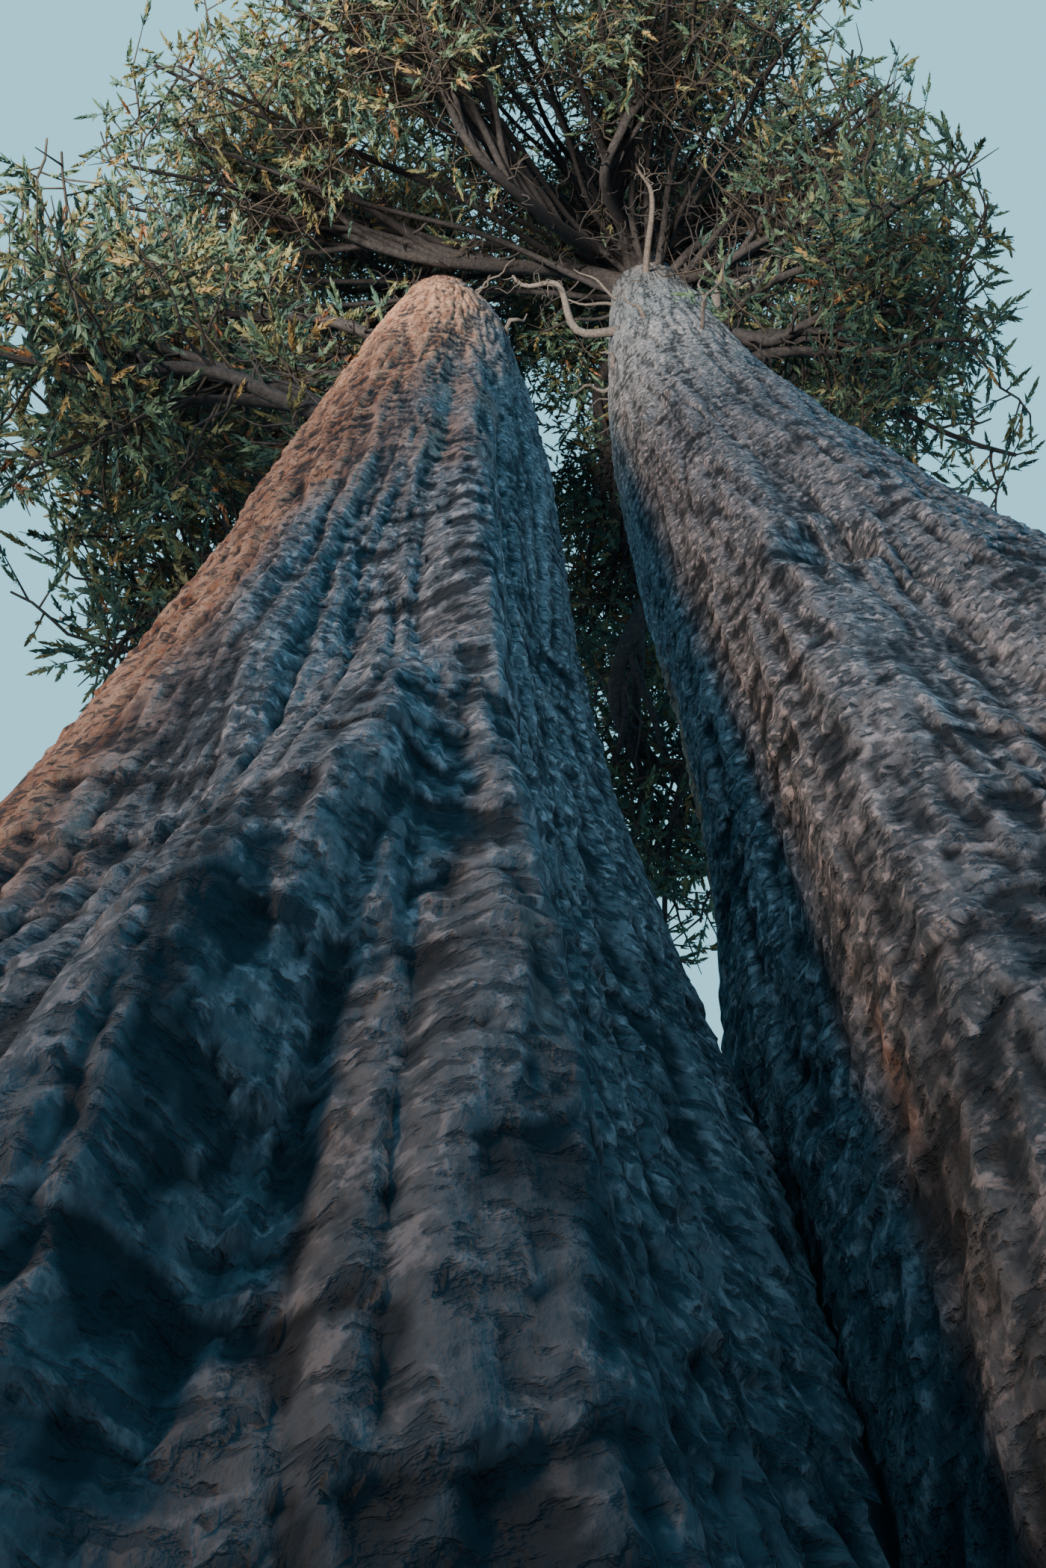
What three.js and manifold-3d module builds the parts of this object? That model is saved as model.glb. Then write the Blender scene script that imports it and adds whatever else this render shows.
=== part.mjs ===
// A twin-stem giant sequoia: one fused, flared foot, two stems, the main boughs, a few dead limbs
// and the masses of foliage that they carry. +Z is up, and the origin is on the flat cut at the ground.
import * as THREE from 'three';
import { mergeVertices } from 'three/addons/utils/BufferGeometryUtils.js';
import Module from 'manifold-3d';

const wasm = await Module();
wasm.setup();

// Lengths are metres of the living tree, about 68 m tall. The model is that tree scaled evenly
// to 40 m, in millimetres.
const realHeight = 68;
const modelHeight = 40000;
const mmPerMetre = modelHeight / realHeight;
const seatGap = 0.3 / mmPerMetre;

// The two stems: where each stands, how it leans and bends, and its girth, taper and root flare.
const forkHeight = 6.8;
const bendWidth = 4;
const tipRadius = 0.02;
const stems = {
  left: {
    foot: [-1.99, 0.03], lean: [-0.019, -0.013], bendHeight: 28.5, bend: [-0.03, 0.054],
    girth: 1.48, taper: 2.43, height: 64, cutAt: 60.5, flare: 1.17, flareFall: 5, flutes: 5, turn: 0.6,
  },
  right: {
    foot: [1.96, 0], lean: [-0.018, 0.015], bendHeight: 24.7, bend: [0.052, -0.037],
    girth: 1.565, taper: 2.1, height: 68, cutAt: 64, flare: 1.81, flareFall: 5, flutes: 6, turn: 2.1,
  },
};
const fluteDepth = 0.055;
const fluteFall = 6;
const stemSides = 16;
const footSteps = 6;
const stemSteps = 15;
const stepCrowding = 1.35;

// The crown stands round one upright axis between the stems. A level holds a ring of spaces, and each
// space holds one mass of foliage at the end of its own bough. Bearings are degrees from +X to +Y, and
// a bow moves the middle of a bough sideways. The main ring ends at two heights by turns, so that no
// level gap runs round the crown.
const crownAxis = new THREE.Vector2(-0.7, 0.2);
const boughSides = 6;
const boughSteps = 5;
const bough = { tipRadius: 0.12, lead: 0.4, leadRise: 0.35, headingRise: 0.12, approach: 0.3 };
const massMargin = 0.22;
const massStemShare = 0.62;
const massWander = 1.6;
const ringHalf = 22.5;
const ringRounding = 0.2;
const highEnd = 44.6;
const lowEnd = 41.4;
const levels = [
  { name: 'low', from: 20.8, to: 26.2, inner: 4.3, boughRadius: 0.24, masses: [
    { name: 'left', stem: 'left', bearing: 191, half: 16, start: 21.2, reach: 9.3, bow: -0.6 },
    { name: 'back_left', stem: 'left', bearing: 159, half: 15, start: 23.4, reach: 7.8, bow: 0.3 },
    { name: 'back', stem: 'right', bearing: 74, half: 24, start: 22.3, reach: 7.9, bow: 0.4 },
  ] },
  { name: 'mid', from: 26.4, to: 34.3, inner: 4.6, boughRadius: 0.26, masses: [
    { name: 'left', stem: 'left', bearing: 180, half: 25, start: 29.5, reach: 9.4, bow: 0.4 },
    { name: 'back_left', stem: 'left', bearing: 125, half: 29, start: 30.6, reach: 8.6, bow: -0.4 },
    { name: 'back_right', stem: 'right', bearing: 58, half: 30, start: 29.8, reach: 8.4, bow: 0.5 },
    { name: 'right', stem: 'right', bearing: 348, half: 29, start: 31.6, reach: 8.2, bow: -0.3 },
  ] },
  { name: 'main', from: 34.5, inner: 4.9, boughRadius: 0.3, masses: [
    { name: 'right_back', stem: 'right', bearing: 22.5, to: highEnd, start: 37.8, reach: 9.4, bow: 0.4 },
    { name: 'back_right', stem: 'right', bearing: 67.5, to: lowEnd, start: 38.6, reach: 9.3, bow: -0.5 },
    { name: 'back_left', stem: 'left', bearing: 112.5, to: highEnd, start: 38.4, reach: 9.5, bow: 0.4 },
    { name: 'left_back', stem: 'left', bearing: 157.5, to: lowEnd, start: 37.2, reach: 10, bow: -0.3 },
    { name: 'left_front', stem: 'right', bearing: 202.5, to: highEnd, start: 43.4, reach: 10.6, bow: 1 },
    { name: 'front_left', stem: 'right', bearing: 247.5, to: lowEnd, start: 44.8, reach: 10.2, bow: 0.7 },
    { name: 'front_right', stem: 'right', bearing: 292.5, to: highEnd, start: 43.8, reach: 9.9, bow: -0.5 },
    { name: 'right_front', stem: 'right', bearing: 337.5, to: lowEnd, start: 42.2, reach: 9.6, bow: 0.4 },
  ] },
  { name: 'upper', to: 52, inner: 4.7, boughRadius: 0.26, masses: [
    { name: 'right_back', stem: 'right', bearing: 22.5, from: highEnd, start: 47.6, reach: 8.9, bow: -0.4 },
    { name: 'back_right', stem: 'right', bearing: 67.5, from: lowEnd, start: 46.2, reach: 8.7, bow: 0.3 },
    { name: 'back_left', stem: 'left', bearing: 112.5, from: highEnd, start: 46.6, reach: 8.8, bow: -0.4 },
    { name: 'left_back', stem: 'left', bearing: 157.5, from: lowEnd, start: 45.4, reach: 9.3, bow: 0.3 },
    { name: 'left_front', stem: 'left', bearing: 202.5, from: highEnd, start: 48.2, reach: 9.6, bow: 0.5 },
    { name: 'front_left', stem: 'right', bearing: 247.5, from: lowEnd, start: 50.4, reach: 9.4, bow: 0.6 },
    { name: 'front_right', stem: 'right', bearing: 292.5, from: highEnd, start: 49.4, reach: 9.1, bow: -0.4 },
    { name: 'right_front', stem: 'right', bearing: 337.5, from: lowEnd, start: 48.6, reach: 8.9, bow: 0.3 },
  ] },
];

// Near the tops the masses sit on the stems themselves, and the last one of each stem ends it.
const stemMasses = [
  { name: 'left_top_back', stem: 'left', bearing: 125, half: 56, from: 52, to: 58, reach: 5.2 },
  { name: 'left_top_front', stem: 'left', bearing: 238, half: 56, from: 52, to: 58, reach: 5.4 },
  { name: 'right_top_front', stem: 'right', bearing: 262, half: 80, from: 52, to: 58.6, reach: 5.6 },
  { name: 'right_top_back', stem: 'right', bearing: 62, half: 80, from: 52, to: 58.6, reach: 5.4 },
  { name: 'right_crown_left', stem: 'right', bearing: 150, half: 88, from: 58.6, to: 64, reach: 3.9 },
  { name: 'right_crown_right', stem: 'right', bearing: 330, half: 88, from: 58.6, to: 64, reach: 4.3 },
  { name: 'left_tip', stem: 'left', from: 58, to: 64.4, reach: 3.4, ends: true },
  { name: 'right_tip', stem: 'right', from: 64, to: 68, reach: 3.5, ends: true },
];
const stemMass = { radius: 0.14, rootShare: 0.4, headingRise: 0.3, stemShare: 0.66, rounding: 0.25 };
const tipMass = { rootShare: 0.9, short: 1.5, rounding: 0.3 };

// The rule of growth: shoots leave the mass's own stem at golden-angle turns, each ends in a tuft,
// and sprays of needles stand out of it. What doesn't fit its space is tried smaller, then skipped.
const goldenAngle = THREE.MathUtils.degToRad(137.508);
const shoot = {
  count: 4, trials: 8, from: 0.15, stride: 0.27, pitch: THREE.MathUtils.degToRad(72), uprightness: 1.8,
  wander: 0.7, length: 3.1, shortest: 0.85, extra: 0.3, lengthSeed: 20,
  radius: 0.085, tipShare: 0.7, sides: 3,
};
const massStemSides = 5;
const massStemSteps = 2;
const tuft = { radius: 1.35, flatness: 0.8, roughness: 0.5, room: 1.22, sprayRoot: 0.62 };
const spray = {
  perTuft: 1, atTip: 3, trials: 8, length: 2.3, width: 1.8, thickness: 0.2, sunk: 0.3, spread: 0.8,
  shoulder: 0.52, notch: 0.56, notchWidth: 0.4, thickest: 0.4,
};
const trialSizes = [1.2, 1, 0.8, 0.58];

// Dead limbs that the stems still hold: height, bearing, length, radius and rise at the end.
const deadLimb = { elbowShare: 0.7, tipShare: 0.35 };
const deadLimbs = [
  { name: 'dead_limb_1', stem: 'right', height: 33.5, bearing: 205, length: 2.3, radius: 0.13, rise: 1.1 },
  { name: 'dead_limb_2', stem: 'right', height: 34.5, bearing: 318, length: 1.5, radius: 0.16, rise: 0.3 },
  { name: 'dead_limb_3', stem: 'right', height: 39.6, bearing: 262, length: 2.6, radius: 0.11, rise: 1.9 },
];

const barkMaterial = new THREE.MeshStandardMaterial({ color: 0x7d5f52, roughness: 0.95, metalness: 0 });
const boughMaterial = new THREE.MeshStandardMaterial({ color: 0x5c4a44, roughness: 0.95, metalness: 0 });
const deadWoodMaterial = new THREE.MeshStandardMaterial({ color: 0x9a8c84, roughness: 0.9, metalness: 0 });
const foliageMaterial = new THREE.MeshStandardMaterial({ color: 0x4a5a34, roughness: 0.8, metalness: 0 });

const up = new THREE.Vector3(0, 0, 1);

// A number from 0 to 1 that looks random and is the same each time for the same seed and step.
function scatter(seed, step) {
  const wave = Math.sin(seed * 12.9898 + step * 78.233) * 43758.5453;
  return wave - Math.floor(wave);
}

// Rises from 0 to a straight slope past the middle, over a soft bend.
function softBend(past) {
  return (past + Math.hypot(past, bendWidth)) / 2;
}

function stemAxis(stem, height) {
  const past = softBend(height - stem.bendHeight) - softBend(-stem.bendHeight);
  return new THREE.Vector3(
    stem.foot[0] + stem.lean[0] * height + stem.bend[0] * past,
    stem.foot[1] + stem.lean[1] * height + stem.bend[1] * past,
    height,
  );
}

function stemRadius(stem, height) {
  const bole = stem.girth * (1 - (height / stem.height) ** stem.taper);
  return bole + stem.flare * Math.exp(-height / stem.flareFall) + tipRadius;
}

function fluted(stem, height, angle) {
  const depth = fluteDepth * Math.exp(-height / fluteFall);
  return 1 + depth * Math.cos(stem.flutes * angle + stem.turn);
}

// A closed mesh becomes a solid, in millimetres of the model.
function toSolid(geometry) {
  geometry.deleteAttribute('normal');
  geometry.deleteAttribute('uv');
  geometry.scale(mmPerMetre, mmPerMetre, mmPerMetre);
  const merged = mergeVertices(geometry);
  const shape = new wasm.Mesh({
    numProp: 3,
    vertProperties: new Float32Array(merged.attributes.position.array),
    triVerts: new Uint32Array(merged.index.array),
  });
  return new wasm.Manifold(shape);
}

// The rings of a closed cylinder, moved one by one: place(along, across, beyond) gives the point
// at a fraction of the length, with the two offsets that a unit circle has there. They are rounded,
// so that the ends of a ring meet.
function ringed(sides, steps, place) {
  const geometry = new THREE.CylinderGeometry(1, 1, 1, sides, steps);
  const position = geometry.attributes.position;
  const grid = 1e5;
  const rounded = (value) => Math.round(value * grid) / grid;
  for (let index = 0; index < position.count; index += 1) {
    const along = rounded(position.getY(index) + 0.5);
    const point = place(along, rounded(position.getX(index)), rounded(position.getZ(index)));
    position.setXYZ(index, point.x, point.y, point.z);
  }
  return geometry;
}

// A stretch of a stem with level rings, closer together where the foot flares.
function stemStretch(stem, bottom, top, steps, extra = 0) {
  return toSolid(ringed(stemSides, steps, (along, across, beyond) => {
    const height = bottom + (top - bottom) * along ** stepCrowding;
    const angle = Math.atan2(-beyond, across);
    const radius = stemRadius(stem, height) * fluted(stem, height, angle) + extra;
    const centre = stemAxis(stem, height);
    return new THREE.Vector3(centre.x + radius * across, centre.y - radius * beyond, height);
  }));
}

// A tapering limb along a curve, with its rings square to it.
function limb(curve, rootRadius, endRadius, sides, steps) {
  const frames = curve.computeFrenetFrames(steps);
  return toSolid(ringed(sides, steps, (along, across, beyond) => {
    const ring = Math.round(along * steps);
    const radius = THREE.MathUtils.lerp(rootRadius, endRadius, along);
    const side = frames.normals[ring];
    const other = new THREE.Vector3().crossVectors(side, frames.tangents[ring]);
    const centre = curve.getPointAt(along);
    return centre.addScaledVector(side, radius * across).addScaledVector(other, radius * beyond);
  }));
}

// A spray of needles: a toothed blade, thickest in the middle, whose root starts behind its twig.
function sprayGeometry(root, along, face, size) {
  const reach = spray.length * size;
  const half = (spray.width * size) / 2;
  const start = -spray.sunk * size;
  const shoulder = spray.shoulder * reach;
  const notch = spray.notch * reach;
  const notchHalf = spray.notchWidth * half;
  const outline = [
    [start, 0], [shoulder, half], [notch, notchHalf], [reach, 0], [notch, -notchHalf], [shoulder, -half],
  ];
  const rise = (spray.thickness * size) / 2;
  const middle = [spray.thickest * reach, 0];
  const across = new THREE.Vector3().crossVectors(face, along).normalize();
  const normal = new THREE.Vector3().crossVectors(along, across);
  const at = ([forward, sideways], lift) => root.clone()
    .addScaledVector(along, forward).addScaledVector(across, sideways).addScaledVector(normal, lift);
  const points = [...outline.map((corner) => at(corner, 0)), at(middle, rise), at(middle, -rise)];
  const top = outline.length;
  const faces = outline.flatMap((corner, index) => {
    const next = (index + 1) % outline.length;
    return [next, index, top, index, next, top + 1];
  });
  const geometry = new THREE.BufferGeometry().setFromPoints(points);
  geometry.setIndex(faces);
  return { geometry, points };
}

function bearingVector(degrees) {
  const angle = THREE.MathUtils.degToRad(degrees);
  return new THREE.Vector3(Math.cos(angle), Math.sin(angle), 0);
}

// Whether a point keeps to the space of one mass: its band of height, its range of bearing, and
// its reach, which is rounded off towards the top and the bottom of the band.
function insideSpace(space, point) {
  if (point.z < space.from + massMargin || point.z > space.to - space.topMargin) return false;
  const centre = space.centre(point.z);
  const offset = new THREE.Vector2(point.x - centre.x, point.y - centre.y);
  const distance = offset.length();
  const middle = (space.from + space.to) / 2;
  const offMiddle = (2 * (point.z - middle)) / (space.to - space.from);
  if (distance > space.reach * (1 - space.rounding * offMiddle ** 2)) return false;
  if (distance < space.inner(point.z) + massMargin) return false;
  if (space.side && (point.x - crownAxis.x) * space.side < massMargin) return false;
  if (space.half === undefined) return true;
  const turn = Math.atan2(offset.y, offset.x) - THREE.MathUtils.degToRad(space.bearing);
  const wrapped = Math.abs(Math.atan2(Math.sin(turn), Math.cos(turn)));
  return (THREE.MathUtils.degToRad(space.half) - wrapped) * distance > massMargin;
}

// A tuft: the rounded clump of needles that ends a shoot. Its points leave room for sprays round it.
function tuftGeometry(centre, size, seed) {
  const geometry = new THREE.IcosahedronGeometry(1, 0);
  geometry.deleteAttribute('normal');
  geometry.deleteAttribute('uv');
  const merged = mergeVertices(geometry);
  const position = merged.attributes.position;
  const points = [];
  for (let index = 0; index < position.count; index += 1) {
    const radius = tuft.radius * size * (1 + tuft.roughness * (scatter(seed, index) - 0.5));
    const point = new THREE.Vector3().fromBufferAttribute(position, index).multiplyScalar(radius);
    point.z *= tuft.flatness;
    points.push(centre.clone().addScaledVector(point, tuft.room));
    point.add(centre);
    position.setXYZ(index, point.x, point.y, point.z);
  }
  return { geometry: merged, points };
}

// A mass of foliage: its own stem from root towards tip, shoots at golden-angle turns round it,
// and a tuft at the end of each shoot and at the tip, with sprays standing out of it.
function grow(space, root, tip, rootRadius, seed) {
  const stemLine = new THREE.LineCurve3(root, tip);
  const axis = stemLine.getTangent(0);
  const nearlyUpright = Math.abs(axis.z) > 0.9;
  const side = new THREE.Vector3().crossVectors(axis, nearlyUpright ? bearingVector(0) : up).normalize();
  const lift = new THREE.Vector3().crossVectors(side, axis);
  const around = (turn) => (
    side.clone().multiplyScalar(Math.cos(turn)).addScaledVector(lift, Math.sin(turn)));
  const keepsIn = (shape) => shape.points.every((point) => insideSpace(space, point));
  const solids = [limb(stemLine, rootRadius, shoot.radius, massStemSides, massStemSteps)];
  const addTuft = (centre, heading, step, size, sprays) => {
    const clump = tuftGeometry(centre, size, seed + step);
    if (!keepsIn(clump)) return false;
    solids.push(toSolid(clump.geometry));
    let missing = sprays;
    for (let trial = 0; trial < spray.trials && missing > 0; trial += 1) {
      const turn = (trial + step) * goldenAngle + seed;
      const along = heading.clone().addScaledVector(around(turn), spray.spread).normalize();
      const from = centre.clone().addScaledVector(along, tuft.radius * size * tuft.sprayRoot);
      const face = around(turn + Math.PI * scatter(seed, step + trial));
      const blade = trialSizes.map((share) => sprayGeometry(from, along, face, share)).find(keepsIn);
      if (!blade) continue;
      solids.push(toSolid(blade.geometry));
      missing -= 1;
    }
    return true;
  };
  for (const size of trialSizes) {
    if (addTuft(tip, axis, shoot.trials, size, spray.atTip)) break;
  }
  let missing = shoot.count;
  for (let step = 0; step < shoot.trials && missing > 0; step += 1) {
    const from = stemLine.getPoint(shoot.from + (1 - shoot.from) * ((step * shoot.stride) % 1));
    const outward = around(step * goldenAngle + scatter(seed, step) * shoot.wander + seed);
    outward.z *= shoot.uprightness;
    outward.normalize();
    const heading = axis.clone().multiplyScalar(Math.cos(shoot.pitch));
    heading.addScaledVector(outward, Math.sin(shoot.pitch));
    const length = shoot.length * (shoot.shortest + shoot.extra * scatter(seed, step + shoot.lengthSeed));
    const ends = trialSizes.map((share) => from.clone().addScaledVector(heading, length * share));
    const trials = trialSizes.flatMap((size) => ends.map((end) => ({ size, end })));
    const grown = trials.find(({ size, end }) => addTuft(end, heading, step, size, spray.perTuft));
    if (!grown) continue;
    const shootLine = new THREE.LineCurve3(from, grown.end);
    solids.push(limb(shootLine, shoot.radius, shoot.radius * shoot.tipShare, shoot.sides, 1));
    missing -= 1;
  }
  return wasm.Manifold.union(solids);
}

// The largest single body of a fused solid, without slivers. Pieces that the cutting left loose go.
function soundBody(solid) {
  const sliver = 0.1;
  const bodies = solid.simplify(sliver).decompose();
  return bodies.reduce((largest, body) => (body.volume() > largest.volume() ? body : largest));
}

// A node of the tree, whose mesh is kept about its own root point.
function addNode(group, name, solid, root, material) {
  const place = root.clone().multiplyScalar(mmPerMetre);
  const body = soundBody(solid).translate([-place.x, -place.y, -place.z]);
  const { vertProperties, triVerts } = body.getMesh();
  const geometry = new THREE.BufferGeometry();
  geometry.setAttribute('position', new THREE.BufferAttribute(vertProperties, 3));
  geometry.setIndex(new THREE.BufferAttribute(triVerts, 1));
  geometry.computeVertexNormals();
  const mesh = new THREE.Mesh(geometry, material);
  mesh.name = name;
  mesh.position.copy(place);
  group.add(mesh);
}

function cutterFor(stem) {
  return stemStretch(stem, forkHeight + seatGap, stem.cutAt + seatGap, stemSteps, seatGap);
}

// The fused foot, from the flat cut at the ground to where the two stems part.
function addTrunk(group) {
  const feet = Object.values(stems).map((stem) => stemStretch(stem, 0, forkHeight, footSteps));
  addNode(group, 'trunk', feet[0].add(feet[1]), new THREE.Vector3(), barkMaterial);
}

function addStem(group, side) {
  const stem = stems[side];
  const bottom = forkHeight + seatGap;
  const solid = stemStretch(stem, bottom, stem.cutAt, stemSteps);
  addNode(group, `${side}_stem`, solid, stemAxis(stem, bottom), barkMaterial);
}

// A bough from its stem to the inner edge of its mass, and the mass that grows on from its tip.
function addBoughAndMass(group, level, mass, seed) {
  const stem = stems[mass.stem];
  const outward = bearingVector(mass.bearing);
  const sideways = new THREE.Vector3().crossVectors(up, outward);
  const from = mass.from ?? level.from;
  const to = mass.to ?? level.to;
  const middle = (from + to) / 2 + (scatter(seed, 1) - 0.5) * massWander;
  const tip = new THREE.Vector3(crownAxis.x, crownAxis.y, middle).addScaledVector(outward, level.inner);
  const heading = outward.clone().addScaledVector(up, bough.headingRise).normalize();
  const start = stemAxis(stem, mass.start);
  const span = start.distanceTo(tip);
  const first = start.clone().lerp(tip, bough.lead).addScaledVector(sideways, mass.bow);
  first.z = mass.start + bough.leadRise;
  const second = tip.clone().addScaledVector(heading, -bough.approach * span);
  const curve = new THREE.CubicBezierCurve3(start, first, second, tip);
  const wood = limb(curve, level.boughRadius, bough.tipRadius, boughSides, boughSteps);
  const name = `${level.name}_${mass.name}`;
  addNode(group, `${name}_bough`, wood.subtract(cutterFor(stem)), start, boughMaterial);
  const space = {
    ...mass, from, to, half: mass.half ?? ringHalf, topMargin: massMargin, rounding: ringRounding,
    centre: () => crownAxis, inner: () => level.inner,
  };
  const root = tip.clone().addScaledVector(heading, seatGap);
  const end = root.clone().addScaledVector(heading, (mass.reach - level.inner) * massStemShare);
  addNode(group, `${name}_foliage`, grow(space, root, end, bough.tipRadius, seed), root, foliageMaterial);
}

// A mass that sits on the stem itself: beside it, or on its cut end, which it then carries on.
function addStemMass(group, mass, seed) {
  const stem = stems[mass.stem];
  const space = {
    ...mass, side: Math.sign(stem.foot[0]), centre: (height) => stemAxis(stem, height),
    topMargin: mass.ends ? 0 : massMargin, rounding: mass.ends ? tipMass.rounding : stemMass.rounding,
    inner: (height) => (height < stem.cutAt ? stemRadius(stem, height) : -massMargin),
  };
  if (mass.ends) {
    const root = stemAxis(stem, stem.cutAt + seatGap);
    const end = stemAxis(stem, mass.to - tipMass.short);
    const rootRadius = stemRadius(stem, stem.cutAt) * tipMass.rootShare;
    const tipFoliage = grow(space, root, end, rootRadius, seed).subtract(cutterFor(stem));
    addNode(group, `${mass.name}_foliage`, tipFoliage, root, foliageMaterial);
    return;
  }
  const start = stemAxis(stem, mass.from + (mass.to - mass.from) * stemMass.rootShare);
  const heading = bearingVector(mass.bearing).addScaledVector(up, stemMass.headingRise).normalize();
  const end = start.clone().addScaledVector(heading, mass.reach * stemMass.stemShare);
  const foliage = grow(space, start, end, stemMass.radius, seed).subtract(cutterFor(stem));
  addNode(group, `${mass.name}_foliage`, foliage, start, foliageMaterial);
}

function addDeadLimb(group, plan) {
  const stem = stems[plan.stem];
  const outward = bearingVector(plan.bearing);
  const start = stemAxis(stem, plan.height);
  const whole = plan.length + stemRadius(stem, plan.height);
  const elbow = start.clone().addScaledVector(outward, whole * deadLimb.elbowShare);
  const end = start.clone().addScaledVector(outward, whole);
  end.z += plan.rise;
  const curve = new THREE.QuadraticBezierCurve3(start, elbow, end);
  const wood = limb(curve, plan.radius, plan.radius * deadLimb.tipShare, boughSides, boughSteps);
  addNode(group, plan.name, wood.subtract(cutterFor(stem)), start, deadWoodMaterial);
}

const tree = new THREE.Group();
addTrunk(tree);
addStem(tree, 'left');
addStem(tree, 'right');
let seed = 1;
for (const level of levels) {
  for (const mass of level.masses) {
    addBoughAndMass(tree, level, mass, seed);
    seed += 1;
  }
}
for (const mass of stemMasses) {
  addStemMass(tree, mass, seed);
  seed += 1;
}
for (const plan of deadLimbs) addDeadLimb(tree, plan);

export default tree;
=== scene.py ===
import math

import bpy
import numpy as np
from mathutils import Matrix, Vector


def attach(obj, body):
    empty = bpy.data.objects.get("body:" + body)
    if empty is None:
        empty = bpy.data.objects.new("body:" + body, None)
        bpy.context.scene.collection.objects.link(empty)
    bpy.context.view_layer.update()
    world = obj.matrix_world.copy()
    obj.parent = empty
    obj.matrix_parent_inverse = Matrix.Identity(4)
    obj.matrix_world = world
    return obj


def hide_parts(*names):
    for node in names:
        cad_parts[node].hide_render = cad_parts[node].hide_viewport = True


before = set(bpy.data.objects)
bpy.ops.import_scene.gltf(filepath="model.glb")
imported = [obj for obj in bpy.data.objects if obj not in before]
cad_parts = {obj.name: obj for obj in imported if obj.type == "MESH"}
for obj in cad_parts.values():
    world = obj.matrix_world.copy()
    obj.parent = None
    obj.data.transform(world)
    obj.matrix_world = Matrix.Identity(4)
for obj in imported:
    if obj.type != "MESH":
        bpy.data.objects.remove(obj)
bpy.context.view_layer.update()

# Lengths below are metres of the living tree, 68 m tall; shrink takes them to the 40 m model
tree = {
    "realHeight": 68.0,
    "modelHeight": 40.0,
    "forkHeight": 6.8,  # where the two stems part
    "bendWidth": 4.0,
    "tipRadius": 0.02,
    "crownAxis": (-0.7, 0.2),
    "goldenAngle": math.radians(137.508),
    "seatGap": 0.0005,
}
shrink = tree["modelHeight"] / tree["realHeight"]
fullTurn = 6.28

stems = {
    "left": {"foot": (-1.99, 0.03), "lean": (-0.019, -0.013), "bendHeight": 28.5, "bend": (-0.03, 0.054),
             "girth": 1.48, "taper": 2.43, "height": 64, "cutAt": 60.5, "flare": 1.17, "flareFall": 5,
             "flutes": 5, "turn": 0.6},
    "right": {"foot": (1.96, 0), "lean": (-0.018, 0.015), "bendHeight": 24.7, "bend": (0.052, -0.037),
              "girth": 1.565, "taper": 2.1, "height": 68, "cutAt": 64, "flare": 1.81, "flareFall": 5,
              "flutes": 6, "turn": 2.1},
}
flute = {"depth": 0.055, "fall": 6}

highEnd = 44.6  # neighbours in the two upper rings meet at two heights by turns
lowEnd = 41.4
ringHalf = 22.5  # degrees to each side of a mass that has no half of its own
ringNames = ("right_back", "back_right", "back_left", "left_back",
             "left_front", "front_left", "front_right", "right_front")


# Start is the bough's height on its stem, and bow is how far it swings sideways
def ringMass(name, stem, bearing, start, reach, bow, **own):
    return {"name": name, "stem": stem, "bearing": bearing, "start": start, "reach": reach, "bow": bow, **own}


# Eight masses all round, from the right by way of the back, of which every other one is cut lower
def fullRing(cut, rows):
    ends = (highEnd, lowEnd) * 4
    return [ringMass(name, stem, ringHalf * (2 * place + 1), *sizes, **{cut: ends[place]})
            for place, (name, (stem, *sizes)) in enumerate(zip(ringNames, rows))]


levels = [
    {"name": "low", "bottom": 20.8, "top": 26.2, "inner": 4.3, "boughRadius": 0.24, "masses": [
        ringMass("left", "left", 191, 21.2, 9.3, -0.6, half=16),
        ringMass("back_left", "left", 159, 23.4, 7.8, 0.3, half=15),
        ringMass("back", "right", 74, 22.3, 7.9, 0.4, half=24)]},
    {"name": "mid", "bottom": 26.4, "top": 34.3, "inner": 4.6, "boughRadius": 0.26, "masses": [
        ringMass("left", "left", 180, 29.5, 9.4, 0.4, half=25),
        ringMass("back_left", "left", 125, 30.6, 8.6, -0.4, half=29),
        ringMass("back_right", "right", 58, 29.8, 8.4, 0.5, half=30),
        ringMass("right", "right", 348, 31.6, 8.2, -0.3, half=29)]},
    {"name": "main", "bottom": 34.5, "inner": 4.9, "boughRadius": 0.3, "masses": fullRing("top", [
        ("right", 37.8, 9.4, 0.4), ("right", 38.6, 9.3, -0.5), ("left", 38.4, 9.5, 0.4),
        ("left", 37.2, 10, -0.3), ("right", 43.4, 10.6, 1), ("right", 44.8, 10.2, 0.7),
        ("right", 43.8, 9.9, -0.5), ("right", 42.2, 9.6, 0.4)])},
    {"name": "upper", "top": 52, "inner": 4.7, "boughRadius": 0.26, "masses": fullRing("bottom", [
        ("right", 47.6, 8.9, -0.4), ("right", 46.2, 8.7, 0.3), ("left", 46.6, 8.8, -0.4),
        ("left", 45.4, 9.3, 0.3), ("left", 48.2, 9.6, 0.5), ("right", 50.4, 9.4, 0.6),
        ("right", 49.4, 9.1, -0.4), ("right", 48.6, 8.9, 0.3)])},
]


# A mass round its stem near the top; one without a half goes all the way round and ends the stem
def stemMass(name, stem, bottom, top, reach, bearing=0, half=None):
    return {"name": name, "stem": stem, "bottom": bottom, "top": top, "reach": reach, "bearing": bearing,
            "half": half, "ends": half is None}


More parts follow.
